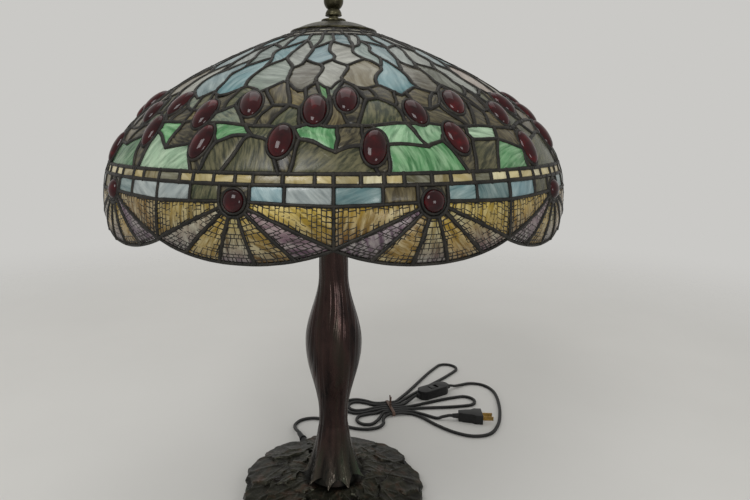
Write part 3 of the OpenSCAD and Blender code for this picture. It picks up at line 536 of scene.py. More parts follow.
def chart(tile):
    ms = sum(c[0] for c in tile) / len(tile)
    ma = sum(c[1] for c in tile) / len(tile)
    scale = radians(1) * radius_at(ms)
    points = [Vector((c[0] - ms, (c[1] - ma) * scale)) for c in tile]
    area = sum(p.x * q.y - q.x * p.y for p, q in zip(points, points[1:] + points[:1]))
    return (points if area > 0 else points[::-1]), ms, ma, scale


def inset(points, d):
    moved = []
    for i, p in enumerate(points):
        a = (p - points[i - 1]).normalized()
        b = (points[(i + 1) % len(points)] - p).normalized()
        na = Vector((-a.y, a.x))
        nb = Vector((-b.y, b.x))
        moved.append(p + d * (na + nb) / (1 + na.dot(nb)))
    return moved


def densify(points, step):
    dense = []
    for p, q in zip(points, points[1:] + points[:1]):
        count = max(1, round((q - p).length / step))
        dense.extend(p.lerp(q, k / count) for k in range(count))
    return dense


# Glass: rings from the edge in, each with its share of the outline and its lift
GLASS_INSET = 0.9
GLASS_STEP = 5.0
GLASS_TOP = 0.5
GLASS_RINGS = [(1.0, -0.8), (0.965, -0.1), (0.86, 0.2), (0.62, 0.4), (0.32, GLASS_TOP)]
RIPPLE = 0.16
RIPPLE_SCALE = 0.12
FLOW_REACH = (500, 500, 50)
TONES = (0.86, 1.12)


def add_glass(shape, tile, tint, dice, tint_end=None):
    """One piece of glass that follows the dome, softly pillowed, with its own tint and flow."""
    points, ms, ma, scale = chart(tile)
    outline = densify(inset(points, GLASS_INSET), GLASS_STEP)
    middle = sum(outline, Vector((0, 0))) / len(outline)
    turn_about = Matrix.Rotation(dice.uniform(0, pi), 3, "Z")
    shift = Vector([dice.uniform(-reach, reach) for reach in FLOW_REACH])
    low = min(p.x for p in outline)
    high = max(p.x for p in outline)

    def vertex(p, lift):
        return on_dome(ms + p.x, ma + p.y / scale, lift)

    def flow(p):
        return turn_about @ p.to_3d() + shift

    def tone(p):
        if tint_end is None:
            return tint
        t = (p.x - low) / (high - low)
        return tuple(lerp(a, b, t) for a, b in zip(tint, tint_end))

    flat = []
    lifts = []
    for share, lift in GLASS_RINGS:
        for p in outline:
            q = middle + (p - middle) * share
            ripple = RIPPLE * noise.noise(q.to_3d() * RIPPLE_SCALE + shift) if share < 1 else 0
            flat.append(q)
            lifts.append(lift + ripple)
    flat += [middle] + outline + [middle]
    lifts += [GLASS_TOP] + [-GLASS_T] * (len(outline) + 1)
    points = [vertex(p, lift) for p, lift in zip(flat, lifts)]
    first = shape.add(points, [tone(p) for p in flat], [flow(p) for p in flat])
    n = len(outline)
    tip = first + len(GLASS_RINGS) * n
    back = tip + 1
    for k in range(n):
        j = (k + 1) % n
        for a in range(first, tip - n, n):
            shape.faces.append((a + k, a + j, a + n + j, a + n + k))
        shape.faces.append((tip - n + k, tip - n + j, tip))
        shape.faces.append((first + j, first + k, back + k, back + j))
        shape.faces.append((back + j, back + k, back + n))


def pick(colours, dice):
    tone = lerp(*TONES, dice.random())
    return tuple(min(1.0, c * tone) for c in dice.choice(colours)[:3]) + (1.0,)


# Lead lines: round on both faces of the glass
BEAD_SWELL = [(0.3, 0.09), (0.14, 0.31)]
BEAD_STEP = 5.0
INNER_SHARE = 0.7
BLOB_W = 0.62
BLOB_H = 1.12 * LEAD_H
BLOB_SIDES = 10
BLOB_ANGLES = (0, 30, 60, 85)
RING_STEP = 2
NET_W = 1.15
NET_H = 0.55


def bead_profile(width, height, inner):
    steps = 5 if inner else 3
    turns = [pi * k / steps for k in range(steps + 1)]
    outer = [(width / 2 * cos(t), height * sin(t)) for t in turns]
    if not inner:
        return outer
    turns = (pi * (1 + k / 3) for k in range(4))
    return outer + [(width / 2 * cos(t), INNER_SHARE * height * sin(t) - GLASS_T) for t in turns]


def add_bead(shape, path, width, height=LEAD_H, closed=False, inner=True):
    """A bead of solder along points (s, angle) on the dome, a little uneven as hand work is."""
    count = len(path)
    centres = [on_dome(s, a) for s, a in path]
    rings = []
    for i, (s, a) in enumerate(path):
        before = centres[i - 1] if closed or i > 0 else centres[i]
        after = centres[(i + 1) % count] if closed or i < count - 1 else centres[i]
        up = dome_normal(s, a)
        side = up.cross(after - before).normalized()
        swell = 1 + rough(centres[i], BEAD_SWELL)
        profile = bead_profile(width * swell, height * swell, inner)
        rings.append([centres[i] + side * x + up * y for x, y in profile])
    if closed:
        rings.append(rings[0])
    shape.loft(rings, start_cap=not closed, end_cap=not closed)


def straight_path(p, q):
    count = max(1, round((on_dome(*q) - on_dome(*p)).length / BEAD_STEP))
    return [(lerp(p[0], q[0], k / count), lerp(p[1], q[1], k / count)) for k in range(count + 1)]


def add_blob(shape, p, radius, height):
    up = dome_normal(*p)
    side = up.orthogonal().normalized()
    across = up.cross(side)
    centre = on_dome(*p)
    rings = []
    for t in BLOB_ANGLES:
        r = radius * cos(radians(t))
        top = centre + height * sin(radians(t)) * up
        rings.append([top + r * (cos(w) * side + sin(w) * across) for w in all_round(BLOB_SIDES)])
    shape.loft(rings, start_cap=True, end_cap=True)


def joint_key(p):
    return (round(p[0], 1), round(p[1] % 360, 1))


def on_ring(p, q):
    same = [ring for ring in UPPER_RINGS + MIDDLE_RINGS if abs(p[0] - ring) < SAME_S]
    return bool(same) and abs(p[0] - q[0]) < SAME_S


def on_rim(p, q):
    return min(p[0], q[0]) > RIM_S - WAVE_H - 0.5 and abs(p[1] - q[1]) > 1


def lead_network(name, node, tiles, rings, width, jewels=(), nets=()):
    """The beads along every edge of the tiles, once each, with a blob of solder on every joint."""
    shape = Shape()
    seen = set()
    joints = {}
    for tile in tiles:
        for p, q in zip(tile, tile[1:] + tile[:1]):
            key = frozenset((joint_key(p), joint_key(q)))
            if key in seen or on_rim(p, q):
                continue
            seen.add(key)
            joints[joint_key(p)] = p
            joints[joint_key(q)] = q
            if not on_ring(p, q):
                add_bead(shape, straight_path(p, q), width)
    for s in rings:
        add_bead(shape, [(s, a) for a in range(0, 360, RING_STEP)], width, closed=True)
    for joint in joints.values():
        add_blob(shape, joint, BLOB_W * width, BLOB_H)
    for jewel in jewels:
        add_collar(shape, jewel)
    for path in nets:
        add_bead(shape, path, NET_W, NET_H, inner=False)
    build(name, shape, LEAD, "shade", "lead", [node], 60)


# Tiles of the upper courses
COLLAR_SHIFT = 3
PANEL_SHIFT = 1.6
SHIELD_STAGGER = 9
BEAD_SHIFT = 0.14


def band_tile(top, low, left, right):
    return [(top, left), (low, left), (low, right), (top, right)]


def crown_tiles():
    starts = [k * CROWN_STEP for k in range(CROWN_COUNT)]
    return [band_tile(CROWN_S, PALE_S, a, a + CROWN_STEP) for a in starts]


def collar_tiles():
    def joint(k):
        return (k + 0.5) * CROWN_STEP + wander(COLLAR_S, k % CROWN_COUNT, COLLAR_SHIFT)

    return [band_tile(PALE_S, COLLAR_S, joint(k), joint(k + 1)) for k in range(CROWN_COUNT)]


def shield_top(k):
    """The joints over the shields lie high and low in turn."""
    return node_at(SHIELD_S + (SHIELD_STAGGER if k % 2 else -SHIELD_STAGGER), k * FINE_STEP)


def panel_tiles():
    """The pieces under the collar, each down to two joints of the shields."""
    def joint(k):
        return (COLLAR_S, k * FINE_STEP + wander(COLLAR_S + 2, k % FINE_COUNT, PANEL_SHIFT))

    return [[joint(k), shield_top(k), shield_top(k + 1), joint(k + 1)] for k in range(FINE_COUNT)]


def shield_tiles():
    tiles = []
    for k in range(FINE_COUNT):
        a = k * FINE_STEP
        tiles.append([
            shield_top(k), node_at(SHIELD_SIDE_S, a), node_at(SHIELD_TIP_S, a + FINE_STEP / 2),
            node_at(SHIELD_SIDE_S, a + FINE_STEP), shield_top(k + 1),
        ])
    return tiles


def spear_tiles():
    tiles = []
    for k in range(FINE_COUNT):
        a = (k + 0.5) * FINE_STEP
        b = a + FINE_STEP
        tiles.append([
            node_at(SHIELD_TIP_S, a), node_at(OLIVE_S, a), node_at(OLIVE_S, b), node_at(SHIELD_TIP_S, b),
            node_at(SHIELD_SIDE_S, a + FINE_STEP / 2),
        ])
    return tiles


def belt_tiles():
    """Beads of uneven length, two in each step of the belt."""
    tiles = []
    for k in range(FINE_COUNT):
        a = k * FINE_STEP
        middle = a + FINE_STEP * (0.5 + wander(BELT_S, a, BEAD_SHIFT))
        tiles.append(band_tile(BELT_S, BORDER_S, a, middle))
        tiles.append(band_tile(BELT_S, BORDER_S, middle, a + FINE_STEP))
    return tiles


# Jewel courses
CELL_END_W = 4
CELL_W = JEWEL_W / 2 + 3.2
KNOT_ACROSS = (0.34, 0.66)
KNOT_DOWN = 8
CREST_ACROSS = (0.28, 0.72)


def jewel_cell(top, a):
    corners = [(top, CELL_END_W), (top + JEWEL_COURSE / 2, CELL_W), (top + JEWEL_COURSE, CELL_END_W)]
    left = [(s, a - degrees_at(half, s)) for s, half in corners]
    return left + [(s, a + degrees_at(half, s)) for s, half in reversed(corners)]


def between_cells(left, right, dice, whole_share):
    """The glass between two jewel cells, cut by lines that meet off its middle: upper and lower pieces."""
    def across(i, t):
        return (left[i][0], lerp(left[i][1], right[i][1], t))

    knot = across(1, dice.uniform(*KNOT_ACROSS))
    knot = (knot[0] + dice.uniform(-KNOT_DOWN, KNOT_DOWN), knot[1])
    crest = across(0, dice.uniform(*CREST_ACROSS))
    foot = across(2, dice.uniform(*CREST_ACROSS))
    upper = [[left[0], left[1], knot, crest], [crest, knot, right[1], right[0]]]
    lower = [[left[1], left[2], foot, knot], [knot, foot, right[2], right[1]]]
    if dice.random() < whole_share:
        lower = [[left[1], left[2], right[2], right[1], knot]]
    return upper, lower


def jewel_course(top, count, turn, seed, whole_share):
    dice = Random(seed)
    step = 360 / count
    cells = [jewel_cell(top, k * step + turn) for k in range(count + 1)]
    upper = []
    lower = []
    for cell, following in zip(cells, cells[1:]):
        high, low = between_cells(cell[:2:-1], following[:3], dice, whole_share)
        upper += high
        lower += low
    return upper, lower, cells[:-1]


JEWEL_RISE = 0.3
JEWEL_SIDES = 32
JEWEL_ANGLES = (-12, 0, 12, 26, 42, 60, 78, 88)
JEWEL_LIFT = 0.3
JEWEL_SLIDE = 2.5
JEWEL_LENGTHS = (0.82, 1.04)
JEWEL_WIDTHS = (0.9, 1.04)
JEWEL_TILT = 14
COLLAR_OUT = 0.9
COLLAR_H = 1.1 * LEAD_H
COLLAR_SINK = 0.4
COLLAR_STEPS = 5


class Jewel:
    """A cabochon's place on the dome: its centre, its size and the directions that it lies along."""

    def __init__(self, s, a, long, wide, tilt=0.0):
        self.centre = on_dome(s, a)
        self.up = dome_normal(s, a)
        flat = polar(1, radians(a + 90))
        lean = Matrix.Rotation(radians(tilt), 3, self.up)
        self.side = lean @ flat
        self.down = lean @ flat.cross(self.up)
        self.long = long
        self.wide = wide

    def ellipse(self, grow, height):
        long = (self.long / 2 + grow) * self.down
        wide = (self.wide / 2 + grow) * self.side
        middle = self.centre + height * self.up
        return [middle + cos(t) * long + sin(t) * wide for t in all_round(JEWEL_SIDES)]


def add_jewel(shape, jewel):
    """A polished cabochon."""
    rings = []
    for t in JEWEL_ANGLES:
        height = jewel.wide * JEWEL_RISE * sin(radians(t)) + JEWEL_LIFT
        middle = jewel.centre + height * jewel.up
        rings.append([lerp(middle, p, cos(radians(t))) for p in jewel.ellipse(0, height)])
    shape.loft(rings, start_cap=True, end_cap=True)


def add_collar(shape, jewel):
    """The bead of solder round a cabochon."""
    rows = []
    for k in range(COLLAR_STEPS + 1):
        t = pi * k / COLLAR_STEPS
        out = COLLAR_OUT - FINE_LEAD_W / 2 * cos(t)
        rows.append(jewel.ellipse(out, COLLAR_H * sin(t) - COLLAR_SINK))
    rings = [list(ring) for ring in zip(*rows, strict=True)]
    shape.loft(rings + rings[:1])


# Border: fans of seven petals
LOBE_STEP = 360 / LOBE_COUNT
LOBE_HALF = pi * SHADE_R / LOBE_COUNT
HUB_HALF = HUB_JEWEL_D / 2 + 4.2
HUB_S = BORDER_S + HUB_HALF
FAN_TOP = 16
SPANDREL_X = 0.52 * LOBE_HALF
RIM_RAYS = (0.2 * LOBE_HALF, 0.62 * LOBE_HALF, LOBE_HALF)
PETAL_STEPS = 4
NET_CELL = 4.4
NET_SHIFT = 0.25
NET_SAG = 0.012
NET_STEPS = 8
VEIN_START = (0.2, 0.8)
VEIN_SHIFT = 0.12
VEIN_LEAN = 0.3
VEIN_MARGIN = 0.03


def rim_at(x):
    return RIM_S - WAVE_H * (abs(x) / LOBE_HALF) ** WAVE_POWER


RAY_ENDS = [Vector((x, rim_at(x))) for x in RIM_RAYS] + [Vector((LOBE_HALF, BORDER_S + FAN_TOP))]
HUB = Vector((0, HUB_S))


def mirrored(p):
    return Vector((-p.x, p.y))


def top_ray_s(x):
    return HUB_S + x * (RAY_ENDS[3].y - HUB_S) / LOBE_HALF


HUB_REACH = hypot(HUB_HALF, top_ray_s(HUB_HALF) - HUB_S)


def border_tile(points, lobe):
    return [(p[1], lobe * LOBE_STEP + degrees(p[0] / SHADE_R)) for p in points]


def hub_point(end):
    return HUB + HUB_REACH * (end - HUB).normalized()


def petal_edge(start, end, t):
    """A point on a petal's outer edge, which follows the scallop where it lies on the rim."""
    p = start.lerp(end, t)
    return Vector((p.x, rim_at(p.x))) if start.x != end.x else p


def petal_outline(start, end):
    rim = [petal_edge(start, end, k / PETAL_STEPS) for k in range(PETAL_STEPS + 1)]
    return [hub_point(start)] + rim + [hub_point(end)]


def petal_spans():
    """The petals of one fan, from its middle out, with the two rays that each lies between."""
    centre = [(mirrored(RAY_ENDS[0]), RAY_ENDS[0])]
    pairs = []
    for start, end in zip(RAY_ENDS, RAY_ENDS[1:]):
        pairs.append([(start, end), (mirrored(end), mirrored(start))])
    return {"amber": pairs[0] + pairs[2], "violet": centre + pairs[1]}


def spandrel_points(start, end, side):
    corners = [(start, BORDER_S), (start, top_ray_s(start)), (end, top_ray_s(end)), (end, BORDER_S)]
    return [(side * x, s) for x, s in corners]


def hub_points():
    rays = [mirrored(end) for end in reversed(RAY_ENDS)] + RAY_ENDS
    return [(-HUB_HALF, BORDER_S)] + [hub_point(end) for end in rays] + [(HUB_HALF, BORDER_S)]


def petal_net(start, end, lobe, dice):
    """Fine wire over a petal: rows across it, and staggered veins from row to row."""
    low = hub_point(start)
    high = hub_point(end)
    rows = round(((start + end) / 2 - (low + high) / 2).length / NET_CELL)

    def at(q, t):
        return border_tile([low.lerp(high, t).lerp(petal_edge(start, end, t), q)], lobe)[0]

    def row(q, sag):
        return [at(q + sag * sin(pi * t), t) for t in (k / NET_STEPS for k in range(NET_STEPS + 1))]

    places = [(i + dice.uniform(-NET_SHIFT, NET_SHIFT)) / rows for i in range(1, rows)]
    paths = [row(q, dice.uniform(-NET_SAG, NET_SAG)) for q in places]
    places = [0.0] + places + [1.0]
    for inner, outer in zip(places, places[1:]):
        wide = low.lerp(start, inner) - high.lerp(end, inner)
        cells = max(1, round(wide.length / NET_CELL))
        phase = dice.uniform(*VEIN_START)
        for k in range(cells):
            t = (k + phase + dice.uniform(-VEIN_SHIFT, VEIN_SHIFT)) / cells
            lean = dice.uniform(-VEIN_LEAN, VEIN_LEAN) / cells
            if VEIN_MARGIN < t < 1 - VEIN_MARGIN:
                paths.append([at(inner, t), at(lerp(inner, outer, 0.5), t + lean / 2), at(outer, t + lean)])
    return paths


# The shade
def split(tiles, share, seed):
    """Part the tiles at random: about a share of them, and the rest."""
    dice = Random(seed)
    chosen = []
    others = []
    for tile in tiles:
        (chosen if dice.random() < share else others).append(tile)
    return chosen, others


def glass_piece(name, nodes, groups, mat, slot, seed):
    """Glass of one course, in groups: tiles, their colours and, if they fade, the colours at their rim."""
    dice = Random(seed)
    shape = Shape()
    for tiles, colours, *ends in groups:
        for tile in tiles:
            tint = pick(colours, dice)
            add_glass(shape, tile, tint, dice, pick(ends[0], dice) if ends else None)
    build(name, shape, mat, "shade", slot, nodes, 50)


def make_upper_shade():
    crown = crown_tiles()
    collar = collar_tiles()
    pale = panel_tiles() + shield_tiles()
    spears = spear_tiles()
    glass_piece("crown_course", ["crown_glass"], [(crown, CROWN)], STREAKY_GLASS, "cream_glass", 11)
    groups = [(collar, CROWN), (pale, PALE), (spears, PALE + MOTTLED)]
    glass_piece("pale_courses", ["pale_glass"], groups, SOFT_GLASS, "pale_glass", 12)
    lead_network("upper_lead", "lead_upper", crown + collar + pale + spears, UPPER_RINGS, LEAD_W)


def make_jewel_courses():
    dice = Random(21)
    belt = belt_tiles()
    high, low, upper_cells = jewel_course(OLIVE_S, UPPER_JEWELS, 0, 22, 0.35)
    olive = high + low
    green_high, green_low, lower_cells = jewel_course(GREEN_S, LOWER_JEWELS, FINE_STEP, 23, 0.6)
    groups = [(olive, MOTTLED + MOTTLED + GREEN[:1] + PALE[4:5]), (upper_cells, DARK_GROUND)]
    glass_piece("olive_course", ["olive_glass"], groups, MOTTLED_GLASS, "olive_glass", 24)
    bright_high, dull_high = split(green_high, 0.4, 26)
    bright_low, dull_low = split(green_low, 0.7, 27)
    groups = [(bright_high + bright_low, GREEN)]
    glass_piece("green_course", ["green_glass"], groups, STREAKY_GLASS, "green_glass", 25)
    groups = [(dull_high + dull_low, MOTTLED), (lower_cells, DARK_GROUND)]
    glass_piece("green_course_ground", [], groups, MOTTLED_GLASS, "olive_glass", 28)
    groups = [(belt, CREAM + CREAM + BELT_ACCENTS)]
    glass_piece("bead_belt", ["belt_glass"], groups, SOFT_GLASS, "cream_glass", 13)
    shape = Shape()
    jewels = []
    for cell in upper_cells + lower_cells:
        s = sum(c[0] for c in cell) / len(cell) + dice.uniform(-JEWEL_SLIDE, JEWEL_SLIDE)
        a = sum(c[1] for c in cell) / len(cell)
        long = JEWEL_L * dice.uniform(*JEWEL_LENGTHS)
        wide = JEWEL_W * dice.uniform(*JEWEL_WIDTHS)
        jewels.append(Jewel(s, a, long, wide, dice.uniform(-JEWEL_TILT, JEWEL_TILT)))
        add_jewel(shape, jewels[-1])
    build("ruby_cabochons", shape, RUBY, "shade", "ruby_glass", ["ruby_jewels"], 60)
    tiles = olive + green_high + green_low + upper_cells + lower_cells + belt
    lead_network("middle_lead", "lead_middle", tiles, MIDDLE_RINGS, LEAD_W, jewels)


def make_border():
    petals = {"amber": [], "violet": []}
    inner = []
    outer = []
    hubs = []
    nets = []
    jewels = []
    shape = Shape()
    dice = Random(31)
    for lobe in range(LOBE_COUNT):
        for colour, spans in petal_spans().items():
            for start, end in spans:
                petals[colour].append(border_tile(petal_outline(start, end), lobe))
                nets += petal_net(start, end, lobe, dice)
        for side in (-1, 1):
            inner.append(border_tile(spandrel_points(HUB_HALF, SPANDREL_X, side), lobe))
            outer.append(border_tile(spandrel_points(SPANDREL_X, LOBE_HALF, side), lobe))
        hubs.append(border_tile(hub_points(), lobe))
        jewels.append(Jewel(HUB_S, lobe * LOBE_STEP, HUB_JEWEL_D, HUB_JEWEL_D))
        add_jewel(shape, jewels[-1])
    amber = [(petals["amber"], AMBER, AMBER_END)]
    violet = [(petals["violet"], VIOLET, VIOLET_END)]
    blue, dull = split(inner, 0.6, 35)
    pale = [(blue, SPANDREL), (outer, SPANDREL)]
    ground = [(dull, MOTTLED), (hubs, DARK_GROUND)]
    glass_piece("amber_fan_petals", ["amber_petals"], amber, STREAKY_GLASS, "amber_glass", 32)
    glass_piece("violet_fan_petals", ["violet_petals"], violet, STREAKY_GLASS, "violet_glass", 33)
    glass_piece("spandrels", ["spandrel_glass"], pale, SOFT_GLASS, "pale_glass", 34)
    glass_piece("border_ground", [], ground, MOTTLED_GLASS, "olive_glass", 36)
    build("hub_cabochons", shape, RUBY, "shade", "ruby_glass", ["hub_jewels"], 60)
    tiles = petals["amber"] + petals["violet"] + inner + outer + hubs
    lead_network("lower_lead", "lead_lower", tiles, [], FINE_LEAD_W, jewels, nets)


WIRE_OUT = 0.6 * RIM_WIRE_R
WIRE_STEPS = 24
WIRE_SIDES = 10
WIRE_DEEP = 1.25
WIRE_SWELL = [(0.1, 0.1)]


def make_rim_wire():
    path = []
    for lobe in range(LOBE_COUNT):
        for k in range(WIRE_STEPS):
            x = LOBE_HALF * (2 * k / WIRE_STEPS - 1)
            path += border_tile([(x, rim_at(x) + WIRE_OUT)], lobe)
    centres = [on_dome(s, a, -GLASS_T / 2) for s, a in path]
    rings = []
    for i, (s, a) in enumerate(path):
        up = dome_normal(s, a)
        side = up.cross(centres[(i + 1) % len(path)] - centres[i - 1]).normalized()
        r = RIM_WIRE_R * (1 + rough(centres[i], WIRE_SWELL))
        deep = WIRE_DEEP * up
        rings.append([centres[i] + r * (cos(t) * side + sin(t) * deep) for t in all_round(WIRE_SIDES)])
    shape = Shape()
    shape.loft(rings + rings[:1])
    build("rim_bead", shape, LEAD, "shade", "lead", ["rim_wire"], 60)


# Base: a mound covered with overlapping leaves, ragged at the edge
MOUND_POWER = 0.6
BASE_IN_R = 20
BOSS_IN = 5.6
BOSS_UP = 22
BOSS_LOW_Z = 36
HOLLOW_R = 113
BASE_SIDES = 420
BASE_ROWS = 96
EDGE_IN_R = 114
EDGE_STEP = 0.5
EDGE_STEPS = 24
EDGE_TURN_IN = [(0.2, -0.3), (0.5, 0.2), (0.8, 1.2), (1.0, 2.6)]
HOLLOW_RINGS = (90, 60, BASE_IN_R)
HOLLOW_DROP = 9
CAST_GRAIN = [(0.7, 0.09), (0.25, 0.35)]
BASE_TONE = 0.53
BASE_WEAR = 0.15
BASE_TONES = (0.12, 1.2)
# Painted shade: the tone of the base where the stem's foot shadows it
FOOT_SHADOW_TONE = 0.25
UNDER_TONE = 0.6

# Leaves: for each ring their count, the radius they lie at, half length, half width and turn
LEAF_RINGS = [(11, 92, 29, 33, 0.1), (9, 66, 26, 28, 0.45), (7, 47, 18, 22, 0.2)]
LEAF_T = 3.4
LEAF_STEP = 0.9
TOOTH_COUNT = 10
TOOTH_DEPTH = 0.12
VEIN_COUNT = 9
VEIN_H = 0.8
LIP_H = 2.2
CURL_H = 1.1
TILT_REACH = 40
LEAF_EDGE = 0.07
RELIEF_SINK = 3.0


def mound(r):
    if r <= FOOT_R:
        return BASE_H
    t = max(0.0, (BASE_R - r) / (BASE_R - FOOT_R))
    return BASE_EDGE_H + (BASE_H - BASE_EDGE_H) * t**MOUND_POWER


def make_leaves():
    """Every leaf of the base: its ring, middle, centre radius, half length, half width, twist and tilt."""
    dice = Random(51)
    leaves = []
    for ring, (count, centre, long, wide, turn) in enumerate(LEAF_RINGS):
        for k in range(count):
            middle = 2 * pi * (k + turn + dice.uniform(-0.2, 0.2)) / count
            size = dice.uniform(0.88, 1.14)
            place_r = centre + dice.uniform(-3, 3)
            broad = wide * size * dice.uniform(0.9, 1.2)
            twist = dice.uniform(-0.35, 0.35)
            leaves.append((ring, middle, place_r, long * size, broad, twist, dice.uniform(-0.05, 0.05)))
    return leaves


LEAVES = make_leaves()


def leaf_shape(leaf, r, a):
    """Where a point lies on a leaf: 0 in its middle to 1 on its toothed edge, then along and across it."""
    ring, middle, centre, long, wide, twist, tilt = leaf
    x = r * cos(a - middle) - centre
    y = r * sin(a - middle)
    along = (x * cos(twist) + y * sin(twist)) / long
    across = (y * cos(twist) - x * sin(twist)) / wide
    notch = abs(sin(atan2(across, along) * TOOTH_COUNT / 2 + middle * 5))
    reach = hypot(along, across) / (1 - TOOTH_DEPTH * notch)
    return (reach, along, across) if reach < 1 else None


def leaf_rise(r, a):
    """Height of the leaves over the mound: the inner lie on the outer, with veins and a lifted edge."""
    best = 0.0
    for leaf in LEAVES:
        ring, middle, *sizes, tilt = leaf
        shape = leaf_shape(leaf, r, a) if cos(a - middle) > 0.5 else None
        if shape is None:
            continue
        reach, along, across = shape
        fan = atan2(across, along + 0.8)
        vein = VEIN_H * max(0.0, cos(fan * VEIN_COUNT)) ** 5 * (1 - reach**4)
        lip = LIP_H * reach**5
        curl = CURL_H * sin(middle * 7 + along * 3)
        height = LEAF_T + LEAF_STEP * ring + vein + lip + curl - along + TILT_REACH * tilt * across
        best = max(best, height * ease((1 - reach) / LEAF_EDGE))
    return best


def edge_r(a):
    """The ragged outline: the furthest leaf at an angle, never further in than the mound's own edge."""
    reach = EDGE_IN_R
    for leaf in LEAVES:
        if leaf[0] > 0 or cos(a - leaf[1]) < 0.8:
            continue
        for step in range(EDGE_STEPS):
            r = BASE_R + 2 - step * EDGE_STEP
            if r <= reach:
                break
            if leaf_shape(leaf, r, a) is not None:
                reach = r
    return reach


def wear(height, low, high):
    """Dark in the hollows, lighter where a raised part is rubbed; in the base the tone passed in also holds
    painted shade under the stem's foot.
    """
    return grey(min(high, max(low, height)))


def make_base():
    turns = all_round(BASE_SIDES)
    edges = [edge_r(a) for a in turns]
    boss = [(stem_radius(up) - BOSS_IN, BASE_H + up) for up in (BOSS_UP, BOSS_UP / 2)]
    rings = [circle(r, z, BASE_SIDES) for r, z in [(BORE_R, BASE_H + BOSS_UP)] + boss]
    # The boss inside the stem's foot is painted in shade
    tones = [grey(FOOT_SHADOW_TONE)] * (len(rings) * BASE_SIDES)
    for k in range(BASE_ROWS + 1):
        ring = []
        for a, edge in zip(turns, edges):
            r = lerp(FOOT_R - BOSS_IN, edge, k / BASE_ROWS)
            grain = rough(polar(r, a), CAST_GRAIN)
            relief = (leaf_rise(r, a) - RELIEF_SINK + grain) * ease((r - FOOT_R + 2) / 11)
            ring.append(polar(r, a, mound(r) + relief * ease((BASE_R + 12 - r) / 16)))
            # Painted shade: the base darkens towards the stem's foot, under its leaves
            shade = lerp(FOOT_SHADOW_TONE, 1, ease((r - FOOT_R + 6) / 10))
            tones.append(wear((BASE_TONE + BASE_WEAR * relief) * shade, *BASE_TONES))
        rings.append(ring)
    rim = rings[-1]
    for drop, pull in EDGE_TURN_IN:
        ring = []
        for a, edge, p in zip(turns, edges, rim):
            ring.append(polar(max(edge - pull, HOLLOW_R), a, lerp(p.z, FELT_T, drop)))
        rings.append(ring)
    under = [(HOLLOW_R - 1, FELT_T)] + [(r, mound(r) - HOLLOW_DROP) for r in HOLLOW_RINGS]
    under += [(BASE_IN_R, BOSS_LOW_Z), (BORE_R, BOSS_LOW_Z)]
    rings += [circle(r, z, BASE_SIDES) for r, z in under] + rings[:1]
    tones += [grey(UNDER_TONE)] * (len(rings) * BASE_SIDES - len(tones))
    shape = Shape()
    shape.loft(rings, tint=tones)
    shape.faces = [face[::-1] for face in shape.faces]
    build("leaf_base", shape, BASE_BRONZE, "root", "dark_bronze", ["lamp_base"], 50)


# Stem: a foot of pointed leaves, a waist and a belly, with fine reeds that wander up it
FLARE_POWER = 1.8
FLARE_H = 60
STEM_STATIONS = [(FLARE_H, 18.3), (86, 18.3), (184, 35.2), (274, 17.6), (314, 17)]
STEM_SIDES = 360
STEM_ROWS = 200
BORE_R = 7
REEDS = 13
REED_H = 0.5
REED_BEND = 0.45
LINE_H = 0.36
FINE_LINE_H = 0.18
TIP_COUNT = 9
NOTCH_H = 9.5
FOOT_LEAF_H = 58
FOOT_FULL = 3.4
FOOT_GAP = 2.0
FOOT_RIB = 0.9
FOOT_RIB_W = 0.125
FOOT_VEIN = 0.4
FOOT_TIP = 3.2
FOOT_TIP_H = 11
SKIRT_T = 2.4
SKIRT_RISE = 0.8
SKIRT_H_IN = 24
FOOT_SWELL = 3.6
FOOT_PATINA = (1.05, 1.6, 1.4, 1.0)
FOOT_PATINA_H = 74
STEM_TONE = 0.85
STEM_WEAR = 0.4
STEM_TONES = (0.3, 1.3)
# Painted shade: the inside of the foot's skirt and the bore are darker, as if in shadow
SKIRT_SHADE_TONE = 0.3


def foot_tips():
    dice = Random(41)
    return [2 * pi * (k + dice.uniform(0.3, 0.7)) / TIP_COUNT for k in range(TIP_COUNT)]


FOOT_TIPS = foot_tips()


def foot_leaf(a):
    """How far an angle lies from the middle of a leaf of the foot, 0, towards the gap beside it, 1."""
    i = bisect(FOOT_TIPS, a)
    left = FOOT_TIPS[i - 1] - (2 * pi if i == 0 else 0)
    right = FOOT_TIPS[i % TIP_COUNT] + (2 * pi if i == TIP_COUNT else 0)
    t = (a - left) / (right - left)
    return 2 * min(t, 1 - t)


def stem_radius(up):
    waist_r = STEM_STATIONS[0][1]
    if up < FLARE_H:
        return waist_r + (FOOT_R - waist_r) * (1 - up / FLARE_H) ** FLARE_POWER
    for (za, ra), (zb, rb) in zip(STEM_STATIONS, STEM_STATIONS[1:]):
        if up <= zb:
            return lerp(ra, rb, ease((up - za) / (zb - za)))
    return STEM_STATIONS[-1][1]


def reed(a, up):
    """Reeds which part and join on their way up, and fine lines along them."""
    turn = a + REED_BEND * noise.noise(polar(1.3, a, up * 0.008))
    main = abs(cos(turn * REEDS / 2)) ** 0.6 - 0.7
    lines = noise.noise(polar(15, turn, up * 0.01))
    fine = noise.noise(polar(38, turn, up * 0.02))
    return REED_H * main + LINE_H * lines + FINE_LINE_H * fine


def foot_rise(up, beside):
    """A leaf of the foot: full in its middle, with a rib and veins, and a tip that turns out."""
    share = ease(1 - up / FOOT_LEAF_H)
    body = FOOT_FULL * (1 - beside**1.5) - FOOT_GAP
    rib = FOOT_RIB * bell(beside, FOOT_RIB_W)
    veins = FOOT_VEIN * abs(sin(up * 0.32 + beside * 4)) ** 4 * (1 - beside)
    turned_out = FOOT_TIP * max(0.0, 1 - up / FOOT_TIP_H) ** 2 * (1 - beside)
    return share * (body + rib - veins) + turned_out


